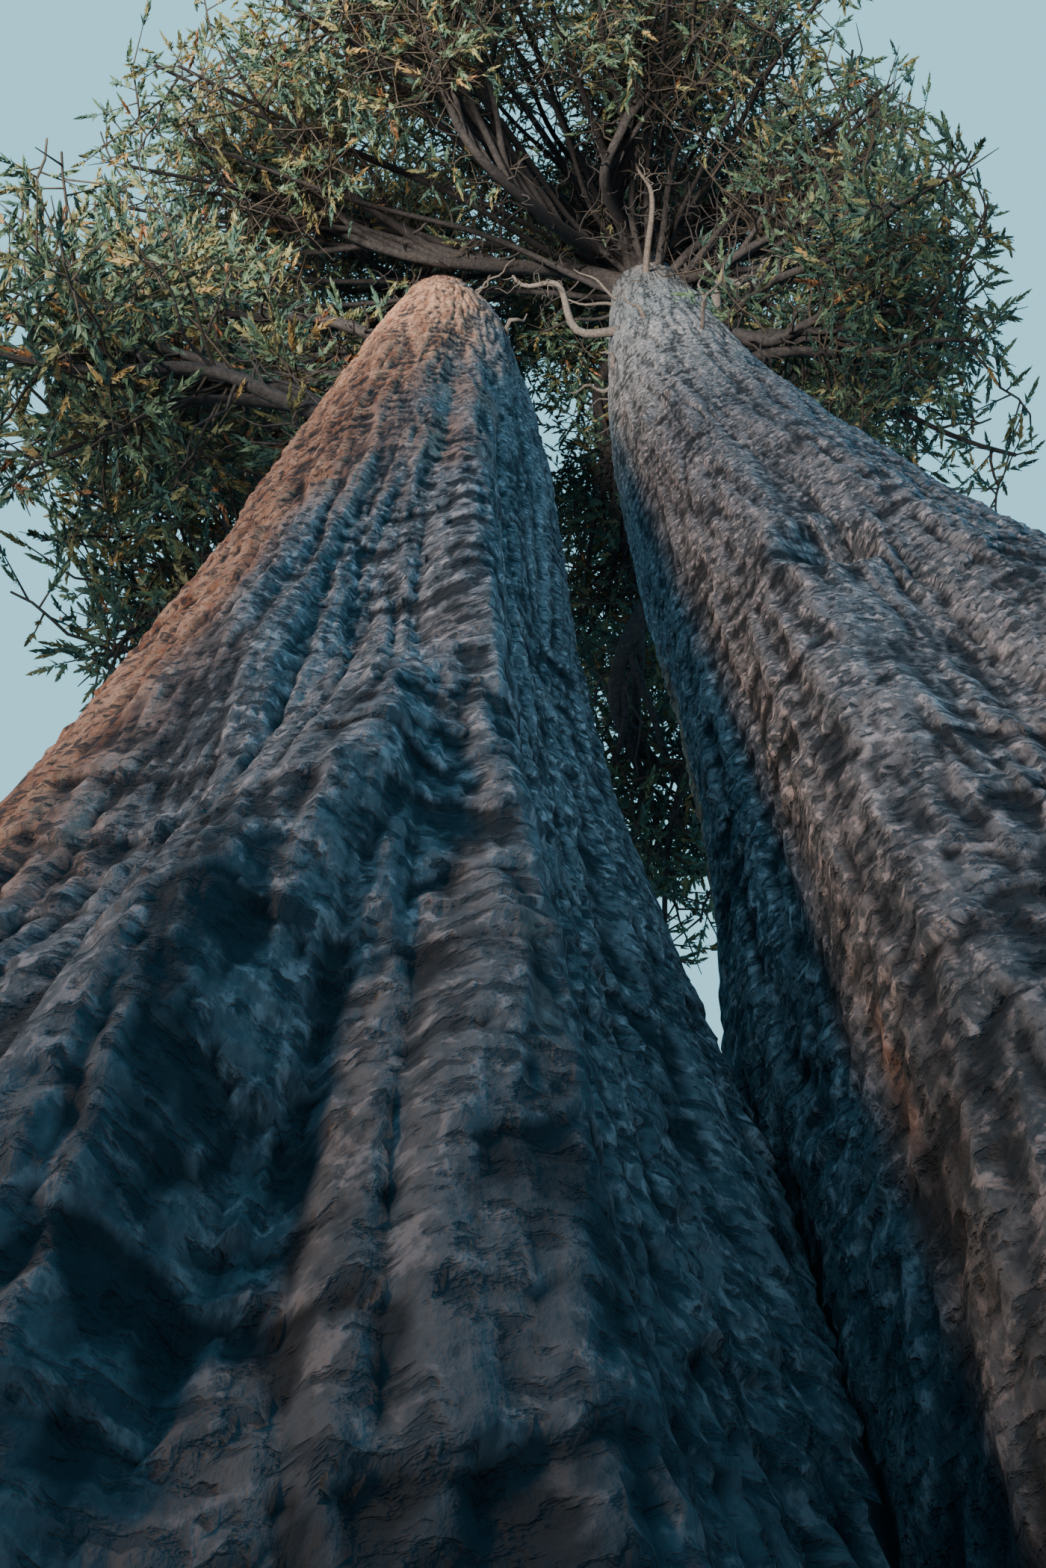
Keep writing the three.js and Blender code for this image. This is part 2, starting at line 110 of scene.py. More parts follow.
stemMasses = [
    stemMass("left_top_back", "left", 52, 58, 5.2, 125, 56),
    stemMass("left_top_front", "left", 52, 58, 5.4, 238, 56),
    stemMass("right_top_front", "right", 52, 58.6, 5.6, 262, 80),
    stemMass("right_top_back", "right", 52, 58.6, 5.4, 62, 80),
    stemMass("right_crown_left", "right", 58.6, 64, 3.9, 150, 88),
    stemMass("right_crown_right", "right", 58.6, 64, 4.3, 330, 88),
    stemMass("left_tip", "left", 58, 64.4, 3.4),
    stemMass("right_tip", "right", 64, 68, 3.5),
]


def softBend(past):
    return (past + np.hypot(past, tree["bendWidth"])) / 2


def stemAxis(stem, height):
    height = np.asarray(height, float)
    past = softBend(height - stem["bendHeight"]) - softBend(-stem["bendHeight"])
    across = [stem["foot"][side] + stem["lean"][side] * height + stem["bend"][side] * past for side in (0, 1)]
    return np.stack([*across, height], axis=-1)


def stemRadius(stem, height):
    height = np.minimum(np.asarray(height, float), stem["height"])
    bole = stem["girth"] * (1 - (height / stem["height"]) ** stem["taper"])
    return bole + stem["flare"] * np.exp(-height / stem["flareFall"]) + tree["tipRadius"]


def fluted(stem, height, angle):
    depth = flute["depth"] * np.exp(-height / flute["fall"])
    return 1 + depth * np.cos(stem["flutes"] * angle + stem["turn"])


def bearingVector(degrees):
    angle = math.radians(degrees)
    return np.array([math.cos(angle), math.sin(angle), 0.0])


def onCrownAxis(height):
    return np.array([*tree["crownAxis"], height])


def unit(vectors):
    vectors = np.asarray(vectors, float)
    return vectors / np.maximum(np.linalg.norm(vectors, axis=-1, keepdims=True), 1e-9)


def turnFrom(angle, bearing):
    return np.angle(np.exp(1j * (angle - math.radians(bearing))))


def linearColour(hexText):
    channels = [int(hexText[index:index + 2], 16) / 255 for index in (1, 3, 5)]
    return [c / 12.92 if c <= 0.04045 else ((c + 0.055) / 1.055) ** 2.4 for c in channels] + [1.0]


# One node with its settings, and its inputs as values, nodes (their first output) or sockets
def addNode(nodeTree, kind, settings=None, inputs=None):
    node = nodeTree.nodes.new(kind)
    for name, value in (settings or {}).items():
        setattr(node, name, value)
    for key, value in (inputs or {}).items():
        if isinstance(value, bpy.types.Node):
            value = value.outputs[0]
        if isinstance(value, bpy.types.NodeSocket):
            nodeTree.links.new(value, node.inputs[key])
        else:
            node.inputs[key].default_value = value
    return node


def openTree(name, sockets):
    nodeTree = bpy.data.node_groups.new(name, "GeometryNodeTree")
    nodeTree.interface.new_socket("Geometry", in_out="INPUT", socket_type="NodeSocketGeometry")
    for socketName, socketType in sockets.items():
        nodeTree.interface.new_socket(socketName, in_out="INPUT", socket_type="NodeSocket" + socketType)
    nodeTree.interface.new_socket("Geometry", in_out="OUTPUT", socket_type="NodeSocketGeometry")
    return nodeTree, nodeTree.nodes.new("NodeGroupInput")


# Every tree ends in plain geometry with its material on it
def closeTree(nodeTree, shaped, material):
    realised = addNode(nodeTree, "GeometryNodeRealizeInstances", None, {0: shaped})
    painted = addNode(nodeTree, "GeometryNodeSetMaterial", None, {0: realised, "Material": material})
    addNode(nodeTree, "NodeGroupOutput", None, {0: painted})
    return nodeTree


def settledMesh(piece):
    depsgraph = bpy.context.evaluated_depsgraph_get()
    return bpy.data.meshes.new_from_object(piece.evaluated_get(depsgraph), depsgraph=depsgraph)


# Runs a tree on a source object, and leaves its result as a plain mesh of the same object
def settleTree(piece, nodeTree, values, dropped=()):
    modifier = piece.modifiers.new("growth", "NODES")
    modifier.node_group = nodeTree
    for item in nodeTree.interface.items_tree:
        if item.item_type == "SOCKET" and item.in_out == "INPUT" and item.name in values:
            modifier[item.identifier] = values[item.name]
    settled = settledMesh(piece)
    piece.modifiers.remove(modifier)
    piece.data = settled
    settled.name = piece.name
    for name in dropped:
        if name in settled.attributes:
            settled.attributes.remove(settled.attributes[name])
    return piece


def newPiece(name, points, edges=(), faces=(), attributes=None):
    mesh = bpy.data.meshes.new(name)
    mesh.from_pydata(np.asarray(points) * shrink, edges, faces)
    for key, (kind, values) in (attributes or {}).items():
        layer = mesh.attributes.new(key, kind, "POINT")
        field = "vector" if kind == "FLOAT_VECTOR" else "value"
        layer.data.foreach_set(field, np.asarray(values, np.float32).ravel())
    piece = bpy.data.objects.new(name, mesh)
    bpy.context.scene.collection.objects.link(piece)
    return piece


def finishPiece(piece, nodes):
    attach(piece, "root")
    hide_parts(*nodes)
    piece.data.calc_loop_triangles()
    print("piece", piece.name, len(piece.data.loop_triangles), "triangles")


# Camera: at eye height beside the foot, looking steeply up between the stems
cameraPlace = {"position": (-1.17, -3.91, 1.5), "elevation": 67.1, "yaw": -0.27, "lens": 35, "sensor": 36,
               "nearest": 0.05, "furthest": 500}


def placeCamera():
    data = bpy.data.cameras.new("camera")
    data.lens = cameraPlace["lens"]
    data.sensor_width = cameraPlace["sensor"]
    data.clip_start = cameraPlace["nearest"]
    data.clip_end = cameraPlace["furthest"]
    camera = bpy.data.objects.new("camera", data)
    camera.location = Vector(cameraPlace["position"]) * shrink
    camera.rotation_euler = (math.radians(90 + cameraPlace["elevation"]), 0, math.radians(cameraPlace["yaw"]))
    bpy.context.scene.collection.objects.link(camera)
    bpy.context.scene.camera = camera


placeCamera()
print("camera placed")


def startMaterial(name, finish):
    material = bpy.data.materials.new(name)
    material.use_nodes = True
    shader = material.node_tree.nodes["Principled BSDF"]
    shader.inputs["Roughness"].default_value = finish["roughness"]
    shader.inputs["Specular IOR Level"].default_value = finish["specular"]
    if "ior" in finish:
        shader.inputs["IOR"].default_value = finish["ior"]
    return material, material.node_tree, shader


# Old sequoia bark: thick, soft and fibrous, shed in flakes and plates. It is matt all over. Weather and
# old fires have left its outside slate grey with pale lilac flecks and char; fresh faces are cinnamon.
# The bark darkens towards the foot, partly char and partly painted shade near the ground
barkLook = {
    "slate": "#485155", "ridge": "#67696B", "ridgePaleAndHighlight": "#938F8F", "fleck": "#C6BAB8",
    "cinnamon": "#8F5C42", "cinnamonPaleAndHighlight": "#D3A283", "rust": "#9A5A38",
    "shadow": "#141C21", "charAndShadeTone": "#252E34",
    "roughness": 0.9, "specular": 0.25,
    # Width of each pattern in mm of the model, and how far it is drawn out upwards. Real fibres are
    # about 1 mm wide, so grain is drawn coarser than life to show
    "patterns": {"grain": (9, 2.0), "strand": (30, 9.0), "dash": (26, 0.8), "pale": (17, 1.8),
                 "blotch": (400, 3.0)},
    # Layers, each over the last: its colour, what it follows, where that begins and is full, its share
    # paler on the raised strands and grain: partly pale weathered fibre, partly painted highlight
    "weathered": [("ridge", "blotch", 0.35, 0.6, 1.0), ("ridgePaleAndHighlight", "strand", 0.45, 0.65, 0.7),
                  ("ridgePaleAndHighlight", "grain", 0.5, 0.62, 0.6), ("fleck", "pale", 0.54, 0.62, 0.75)],
    # paler cinnamon on the raised strands: partly pale fresh fibre, partly painted highlight
    "fresh": [("cinnamonPaleAndHighlight", "strand", 0.38, 0.62, 0.9), ("rust", "grain", 0.5, 0.62, 0.55)],
    # darker towards the foot, partly char and partly painted shade near the ground; the char in the dash pits
    # is painted shade in them
    "charAndPaintedShade": [("charAndShadeTone", "height", 4.8, 1.6, 0.85), ("charAndShadeTone", "dash", 0.47, 0.39, 0.8),
             # painted shade: the deeper in a furrow or under a lip, the darker
             ("charAndShadeTone", "grain", 0.44, 0.36, 0.5), ("shadow", "furrowShade", 0.6, 0.1, 0.9)],
    "patchEdge": 0.3, "freshBegins": 0.2, "freshFull": 0.7,  # how ragged the cinnamon patches, partly painted sunlight, are
    # Relief too fine for the mesh: pits, then what each pattern adds
    "pits": (0.38, 0.48, 1.4), "raised": {"grain": 1.6, "pale": 2.0, "strand": 1.4}, "bumpDepth": 0.005,
}


def layOver(nodeTree, colour, layers, sources):
    for target, source, begins, full, most in layers:
        share = addNode(nodeTree, "ShaderNodeMapRange", None,
                        {0: sources[source], 1: begins, 2: full, 3: 0.0, 4: most})
        colour = addNode(nodeTree, "ShaderNodeMix", {"data_type": "RGBA"},
                         {0: share, 6: colour, 7: linearColour(barkLook[target])}).outputs[2]
    return colour


def barkMaterial(name):
    look = barkLook
    material, nodeTree, shader = startMaterial(name, look)
    place = addNode(nodeTree, "ShaderNodeAttribute", {"attribute_name": "barkPlace"}).outputs["Vector"]
    # painted shade: the deeper in a furrow or under a lip, the darker the bark
    furrowShade = addNode(nodeTree, "ShaderNodeAttribute", {"attribute_name": "furrowShade"}).outputs["Fac"]
    cinnamonAndSunlit = addNode(nodeTree, "ShaderNodeAttribute", {"attribute_name": "cinnamonAndSunlit"}).outputs["Fac"]
    height = addNode(nodeTree, "ShaderNodeSeparateXYZ", None, {0: place}).outputs["Z"]
    sources = {"furrowShade": furrowShade, "height": height}
    for kind, (millimetres, drawnOut) in look["patterns"].items():
        width = millimetres / 1000
        laid = addNode(nodeTree, "ShaderNodeVectorMath", {"operation": "MULTIPLY"},
                       {0: place, 1: (1 / width, 1 / width, 1 / (width * drawnOut))})
        sources[kind] = addNode(nodeTree, "ShaderNodeTexNoise", None,
                                {"Vector": laid, "Scale": 0.5, "Detail": 4, "Roughness": 0.6})
    weathered = layOver(nodeTree, linearColour(look["slate"]), look["weathered"], sources)
    fresh = layOver(nodeTree, linearColour(look["cinnamon"]), look["fresh"], sources)
    edge = look["patchEdge"]
    ragged = addNode(nodeTree, "ShaderNodeMapRange", None,
                     {0: sources["blotch"], 1: 0.3, 2: 0.7, 3: -edge, 4: edge})
    # cinnamon share, partly painted sunlight on the sun side
    cinnamonAndSunlitShare = addNode(nodeTree, "ShaderNodeMath", {"operation": "ADD"}, {0: ragged, 1: cinnamonAndSunlit})
    share = addNode(nodeTree, "ShaderNodeMapRange", None,
                    {0: cinnamonAndSunlitShare, 1: look["freshBegins"], 2: look["freshFull"]})
    both = addNode(nodeTree, "ShaderNodeMix", {"data_type": "RGBA"}, {0: share, 6: weathered, 7: fresh})
    nodeTree.links.new(layOver(nodeTree, both.outputs[2], look["charAndPaintedShade"], sources), shader.inputs["Base Color"])
    begins, full, amount = look["pits"]
    relief = addNode(nodeTree, "ShaderNodeMapRange", None,
                     {0: sources["dash"], 1: begins, 2: full, 3: 0.0, 4: amount})
    for kind, amount in look["raised"].items():
        relief = addNode(nodeTree, "ShaderNodeMath", {"operation": "MULTIPLY_ADD"},
                         {0: sources[kind], 1: amount, 2: relief})
    bump = addNode(nodeTree, "ShaderNodeBump", None,
                   {"Strength": 1.0, "Distance": look["bumpDepth"], "Height": relief})
    nodeTree.links.new(bump.outputs[0], shader.inputs["Normal"])
    return material


# Thin scaly bark on live limbs and twigs, and bare wood that the weather has silvered. The grain is the
# width in mm of a bark scale or a band of grey wood, which gives the eye a dull two-tone mottle
limbFinish = {"detail": 5, "crispness": 0.65, "begins": 0.35, "full": 0.68, "specular": 0.3,
              "bump": 0.7, "bumpDepth": 0.006}
limbLooks = {
    "boughBark": {"base": "#241F1E", "other": "#463D3A", "grain": 38.4615, "roughness": 0.85},
    "deadWood": {"base": "#463B35", "other": "#75675E", "grain": 25, "roughness": 0.8},
    "twigBark": {"base": "#332B24", "other": "#4B3E32", "grain": 50, "roughness": 0.8},
}

# Scale-like needles: a waxy skin over green, half matt, from blue-green shade sprays to olive sun sprays
# with rusty old ones; olive and gold on the sun side are partly painted sunlight, deep green on the far side
# partly painted shade. Each tint wanders a little over a third of a metre, which is about one shoot.
# The shares say how often a tint is dealt to a spray in the shade and in the sun
needleFinish = {"detail": 3, "crispness": 0.5, "begins": 0.35, "full": 0.65, "specular": 0.35,
                "roughness": 0.55, "ior": 1.45, "grain": 333.333}
needleTints = {
    "shade": {"base": "#35493F", "other": "#44594B", "inShade": 0.5, "inSun": 0.16},
    "green": {"base": "#4A5A43", "other": "#5B694D", "inShade": 0.36, "inSun": 0.36},
    "olive": {"base": "#6B6643", "other": "#7C724B", "inShade": 0.12, "inSun": 0.36},
    "gold": {"base": "#876B41", "other": "#987A4C", "inShade": 0.01, "inSun": 0.08},
    "rust": {"base": "#794F33", "other": "#8A5D3C", "inShade": 0.01, "inSun": 0.04},
}


def mottledMaterial(name, look):
    material, nodeTree, shader = startMaterial(name, look)
    place = addNode(nodeTree, "ShaderNodeTexCoord").outputs["Object"]
    mottle = addNode(nodeTree, "ShaderNodeTexNoise", None,
                     {"Vector": place, "Scale": 1000 / look["grain"], "Detail": look["detail"],
                      "Roughness": look["crispness"]})
    share = addNode(nodeTree, "ShaderNodeMapRange", None, {0: mottle, 1: look["begins"], 2: look["full"]})
    colour = addNode(nodeTree, "ShaderNodeMix", {"data_type": "RGBA"},
                     {0: share, 6: linearColour(look["base"]), 7: linearColour(look["other"])})
    nodeTree.links.new(colour.outputs[2], shader.inputs["Base Color"])
    if "bump" in look:
        bump = addNode(nodeTree, "ShaderNodeBump", None,
                       {"Strength": look["bump"], "Distance": look["bumpDepth"], "Height": mottle})
        nodeTree.links.new(bump.outputs[0], shader.inputs["Normal"])
    return material


materials = {name: mottledMaterial(name, {**limbFinish, **look}) for name, look in limbLooks.items()}
materials["stemBark"] = barkMaterial("sequoiaBark")
for tintName, tintLook in needleTints.items():
    materials[tintName] = mottledMaterial(tintName + "Needles", {**needleFinish, **tintLook})
print("materials made")

# The stems' bark: a fine tube along each stem, denser on the side that is seen from close by
barkTube = {
    "sides": 244,
    "frontCrowding": 0.55,
    "footRows": 160,
    "footCrowding": 0.75,
    "stemRows": 330,
    "girthReach": 0.9,  # radius of the round on which the bark's pattern is laid out, metres of the model
    "reliefShare": (0.12, 1.35),  # the relief goes with the girth, between these
    "lip": {"height": 0.3, "place": 1.6, "width": 0.5},  # bark swells round a hollow, in parts of its size
    # hollows and swellings: stem, height, bearing, width and height, depth (swellings below zero)
    "dents": [
        ("right", 12.0, 242, 0.24, 0.5, 0.32),
        ("right", 21.3, 226, 0.15, 0.32, 0.22),
        ("right", 9.5, 250, 0.30, 5.0, 0.12),
        ("right", 7.0, 222, 0.35, 4.0, -0.10),
        ("right", 15.5, 262, 0.30, 2.6, -0.08),
        ("right", 20.5, 285, 0.40, 1.6, -0.07),
        ("right", 36.0, 318, 0.50, 0.8, -0.12),
        ("right", 34.5, 322, 0.35, 0.6, -0.12),
        ("left", 8.5, 298, 0.2, 9.0, -0.17),
        ("left", 8.0, 325, 0.6, 8.0, 0.2),
        ("left", 11.0, 8, 0.8, 4.4, 0.13),
        ("right", 11.0, 152, 0.7, 4.4, 0.1),
        ("left", 3.3, 259, 0.5, 1.2, -0.12),
        ("left", 4.7, 262, 0.45, 1.0, -0.1),
        ("left", 5.4, 273, 0.24, 1.1, -0.15),
        ("left", 6.8, 282, 0.22, 1.3, -0.15),
        ("left", 3.8, 281, 0.22, 1.5, 0.12),
        ("left", 6.2, 257, 0.3, 1.5, 0.1),
        ("left", 9.6, 276, 0.34, 2.2, 0.14),
        ("left", 11.6, 241, 0.13, 0.32, 0.13),
        ("left", 12.4, 255, 0.17, 0.24, 0.13),
        ("left", 13.4, 301, 0.16, 0.30, 0.16),
        ("left", 16.5, 228, 0.30, 1.4, 0.10),
        ("left", 21.0, 250, 0.30, 2.0, -0.07),
    ],
    # cinnamon patches, on the stems' sun side partly painted sunlight: stem, height, bearing, their reach in
    # degrees and metres, strength
    "patches": [
        ("left", 28.0, 236, 72, 9.0, 1.4),
        ("left", 17.0, 224, 42, 6.5, 1.2),
        ("left", 10.5, 216, 34, 4.5, 1.0),
        ("left", 6.5, 222, 20, 3.0, 0.5),
        ("left", 46.0, 258, 70, 9.0, 0.6),
        ("left", 5.0, 297, 2.4, 0.8, 0.4),
        ("right", 12.0, 167, 9, 3.2, 1.2),
        ("right", 5.6, 214, 1.8, 0.8, 0.65),
        ("right", 17.0, 338, 12, 6.0, 0.8),
        ("right", 44.0, 260, 70, 6.0, 0.3),
    ],
}


def dentAt(side, height, angle, radius):
    lip = barkTube["lip"]
    total = np.zeros_like(height)
    for stemName, level, bearing, width, tall, depth in barkTube["dents"]:
        if stemName == side:
            off = np.hypot(turnFrom(angle, bearing) * radius / width, (height - level) / tall)
            rim = lip["height"] * np.exp(-((off - lip["place"]) / lip["width"]) ** 2)
            total += depth * (rim - np.exp(-off ** 2))
    return total


# Share of cinnamon bark; on the stems' sun side it is partly painted sunlight
def cinnamonAndSunlitAt(side, height, angle):
    total = np.zeros_like(height)
    for stemName, level, bearing, spread, tall, strength in barkTube["patches"]:
        if stemName == side:
            turn = np.degrees(turnFrom(angle, bearing))
            total += strength * np.exp(-(turn / spread) ** 2 - ((height - level) / tall) ** 2)
    return np.clip(total, 0, 1)


def tubeMesh(name, side, heights):
    stem = stems[side]
    crowd = barkTube["frontCrowding"]
    turn = np.linspace(-1, 1, barkTube["sides"], endpoint=False)
    around = -math.pi / 2 + math.pi * ((1 - crowd) * turn + crowd * turn ** 3)
    height, angle = np.meshgrid(heights, around, indexing="ij")
    radius = stemRadius(stem, height) * fluted(stem, height, angle)
    outward = np.stack([np.cos(angle), np.sin(angle), np.zeros_like(angle)], axis=-1)
    points = stemAxis(stem, height) + outward * radius[..., None]
    rows, sides = height.shape
    index = np.arange(rows * sides).reshape(rows, sides)
    right = np.roll(index, -1, axis=1)
    quads = np.stack([index[:-1], right[:-1], right[1:], index[1:]], axis=-1).reshape(-1, 4)
    faces = [*quads.tolist(), index[0][::-1].tolist(), index[-1].tolist()]
    # The pattern narrows with the stem, but less than it does, so that a wide foot has more ridges
    girth = stemRadius(stem, height) / stem["girth"]
    reach = barkTube["girthReach"] * np.sqrt(girth)
    place = outward * reach[..., None] * np.sign(stem["foot"][0])
    place[..., 2] = height * shrink
    return newPiece(name, points.reshape(-1, 3), faces=faces, attributes={
        "outward": ("FLOAT_VECTOR", outward),
        "barkPlace": ("FLOAT_VECTOR", place),
        "barkShare": ("FLOAT", np.clip(girth, *barkTube["reliefShare"])),
        "cinnamonAndSunlit": ("FLOAT", cinnamonAndSunlitAt(side, height, angle)),
        "dent": ("FLOAT", dentAt(side, height, angle, radius) * shrink),
    })


# Sizes of the bark's relief in metres of the model. A stretch below one draws a form out upwards
barkRelief = {
    "Ridge Width": 0.13, "Ridge Stretch": 0.06, "Ridge Depth": 0.02,
    "Crease Width": 0.04, "Crease Stretch": 0.14, "Crease Depth": 0.007,
    "Flake Width": 0.045, "Flake Stretch": 0.35, "Flake Depth": 0.012,
    "Plate Width": 0.19, "Plate Stretch": 0.8, "Plate Depth": 0.018,
    "Swell Width": 0.42, "Swell Stretch": 0.07, "Swell Depth": 0.12, "Wander": 0.05,
}
barkForms = {
    "wanderStretch": 0.4, "wanderScale": 1.6,
    "furrows": {"Ridge": 0.13, "Crease": 0.12},  # how far from its middle the noise gives a full ridge
    # size of the patches in which they stand out, and where in its noise a patch begins and is full
    "scales": {"Flake": (3.0, 0.42, 0.62), "Plate": (1.3, 0.44, 0.58)}, "scalesLeast": 0.15,
    "middles": {"Ridge": 0.7, "Crease": 0.7, "Flake": 0.0, "Plate": 0.0, "Swell": 0.5},
    "colourShares": {"Crease": 0.4, "Ridge": 0.6},
}


def barkTree():
    forms = barkForms
    nodeTree, given = openTree("barkRelief", {**{name: "Float" for name in barkRelief}, "Bark": "Material"})
    named = {}
    for name, kind in (("barkPlace", "FLOAT_VECTOR"), ("outward", "FLOAT_VECTOR"),
                       ("barkShare", "FLOAT"), ("dent", "FLOAT")):
        named[name] = addNode(nodeTree, "GeometryNodeInputNamedAttribute", {"data_type": kind},
                              {"Name": name})
    place = named["barkPlace"]
    # A slow wander keeps the lines from running straight up
    slow = addNode(nodeTree, "ShaderNodeVectorMath", {"operation": "MULTIPLY"},
                   {0: place, 1: (1, 1, forms["wanderStretch"])})
    waver = addNode(nodeTree, "ShaderNodeTexNoise", None,
                    {"Vector": slow, "Scale": forms["wanderScale"], "Detail": 2})
    centred = addNode(nodeTree, "ShaderNodeVectorMath", {"operation": "SUBTRACT"},
                      {0: waver.outputs["Color"], 1: (0.5, 0.5, 0.5)})
    wander = addNode(nodeTree, "ShaderNodeMath", {"operation": "MULTIPLY"},
                     {0: given.outputs["Wander"], 1: 2.0})
    shifted = addNode(nodeTree, "ShaderNodeVectorMath", {"operation": "SCALE"}, {0: centred, "Scale": wander})
    wandered = addNode(nodeTree, "ShaderNodeVectorMath", {"operation": "ADD"}, {0: place, 1: shifted})
    laid, scale, height = {}, {}, {}
    for kind in forms["middles"]:
        axis = addNode(nodeTree, "ShaderNodeCombineXYZ", None,
                       {0: 1.0, 1: 1.0, 2: given.outputs[kind + " Stretch"]})
        laid[kind] = addNode(nodeTree, "ShaderNodeVectorMath", {"operation": "MULTIPLY"},
                             {0: wandered, 1: axis})
        scale[kind] = addNode(nodeTree, "ShaderNodeMath", {"operation": "DIVIDE"},
                              {0: 1.0, 1: given.outputs[kind + " Width"]})
    # Furrows: long lines where a drawn-out noise passes its middle; they fork, meet and never end short
    for kind, reach in forms["furrows"].items():
        noise = addNode(nodeTree, "ShaderNodeTexNoise", None,
                        {"Vector": laid[kind], "Scale": scale[kind], "Detail": 1.5, "Roughness": 0.45})
        off = addNode(nodeTree, "ShaderNodeMath", {"operation": "SUBTRACT"}, {0: noise, 1: 0.5})
        away = addNode(nodeTree, "ShaderNodeMath", {"operation": "ABSOLUTE"}, {0: off})
        height[kind] = addNode(nodeTree, "ShaderNodeMapRange", {"interpolation_type": "SMOOTHSTEP"},
                               {0: away, 1: 0.0, 2: reach})
    # Flakes and plates: cells that stand out more towards their lower end, in patches
    for kind, (patchScale, begins, full) in forms["scales"].items():
        cell = addNode(nodeTree, "ShaderNodeTexVoronoi", {"feature": "F1"},
                       {"Vector": laid[kind], "Scale": scale[kind]})
        below = addNode(nodeTree, "ShaderNodeVectorMath", {"operation": "SUBTRACT"},
                        {0: cell.outputs["Position"], 1: laid[kind]})
        drop = addNode(nodeTree, "ShaderNodeSeparateXYZ", None, {0: below}).outputs["Z"]
        tilt = addNode(nodeTree, "ShaderNodeMath", {"operation": "MULTIPLY"}, {0: drop, 1: scale[kind]})
        patch = addNode(nodeTree, "ShaderNodeTexNoise", None,
                        {"Vector": slow, "Scale": patchScale, "Detail": 2})
        share = addNode(nodeTree, "ShaderNodeMapRange", None,
                        {0: patch, 1: begins, 2: full, 3: forms["scalesLeast"], 4: 1.0})
        height[kind] = addNode(nodeTree, "ShaderNodeMath", {"operation": "MULTIPLY"}, {0: tilt, 1: share})
    # Swells: broad lobes that several ridges ride on
    height["Swell"] = addNode(nodeTree, "ShaderNodeTexNoise", None,
                              {"Vector": laid["Swell"], "Scale": scale["Swell"], "Detail": 1.5})
    # The heights add up along the outward direction, less where the stem is thin
    lift = 0.0
    for kind, middle in forms["middles"].items():
        above = addNode(nodeTree, "ShaderNodeMath", {"operation": "SUBTRACT"}, {0: height[kind], 1: middle})
        lift = addNode(nodeTree, "ShaderNodeMath", {"operation": "MULTIPLY_ADD"},
                       {0: above, 1: given.outputs[kind + " Depth"], 2: lift})
    shared = addNode(nodeTree, "ShaderNodeMath", {"operation": "MULTIPLY_ADD"},
                     {0: lift, 1: named["barkShare"], 2: named["dent"]})
    moved = addNode(nodeTree, "ShaderNodeVectorMath", {"operation": "SCALE"},
                    {0: named["outward"], "Scale": shared})
    # How deep in a furrow or under a lip each point lies is kept for the colour, which paints shade there
    depth = height["Plate"]
    for kind, share in forms["colourShares"].items():
        depth = addNode(nodeTree, "ShaderNodeMath", {"operation": "MULTIPLY_ADD"},
                        {0: height[kind], 1: share, 2: depth})
    stored = addNode(nodeTree, "GeometryNodeStoreNamedAttribute", {"data_type": "FLOAT", "domain": "POINT"},
                     {"Geometry": given.outputs["Geometry"], "Name": "furrowShade", "Value": depth})
    shaped = addNode(nodeTree, "GeometryNodeSetPosition", None, {"Geometry": stored, "Offset": moved})
    smooth = addNode(nodeTree, "GeometryNodeSetShadeSmooth", None, {0: shaped})
    return closeTree(nodeTree, smooth, given.outputs["Bark"])


def makeStems():
    nodeTree = barkTree()
    values = {**barkRelief, "Bark": materials["stemBark"]}
    spent = ("outward", "barkShare", "dent")
    foot = tree["forkHeight"]
    footHeights = foot * np.linspace(0, 1, barkTube["footRows"]) ** barkTube["footCrowding"]
    trunk, other = [settleTree(tubeMesh(side + "Foot", side, footHeights), nodeTree, values, spent)
                    for side in stems]
    union = trunk.modifiers.new("union", "BOOLEAN")
    union.operation = "UNION"
    union.solver = "MANIFOLD"
    union.object = other
    trunk.data = settledMesh(trunk)
    trunk.modifiers.remove(union)
    bpy.data.objects.remove(other)
    trunk.name = "fusedFoot"
    trunk.data.name = "fusedFoot"
    finishPiece(trunk, ["trunk"])
    for side, stem in stems.items():
        bottom = foot + tree["seatGap"]
        heights = bottom * (stem["cutAt"] / bottom) ** np.linspace(0, 1, barkTube["stemRows"])
        piece = settleTree(tubeMesh(side + "Stem", side, heights), nodeTree, values, spent)
        finishPiece(piece, [side + "_stem"])


makeStems()
print("stems made")

# The space of one mass: its band of height, its range of bearing and its rounded reach
crown = {
    "overlap": 0.45, "lap": 0.25,  # sprays reach into the next space sideways and up, so that no seam shows
    "ringRounding": 0.0, "stemRounding": 0.06, "tipRounding": 0.1, "tipTaper": 0.6, "ripple": 0.04,
}


def ringSpace(level, mass):
    space = {"bottom": level.get("bottom"), "top": level.get("top"), "half": ringHalf, **mass}
    return {**space, "inner": level["inner"], "rounding": crown["ringRounding"], "stem": None, "tip": False}


def stemSpace(mass):
    rounding = crown["tipRounding"] if mass["ends"] else crown["stemRounding"]
    return {**mass, "stem": stems[mass["stem"]], "tip": mass["ends"], "rounding": rounding}


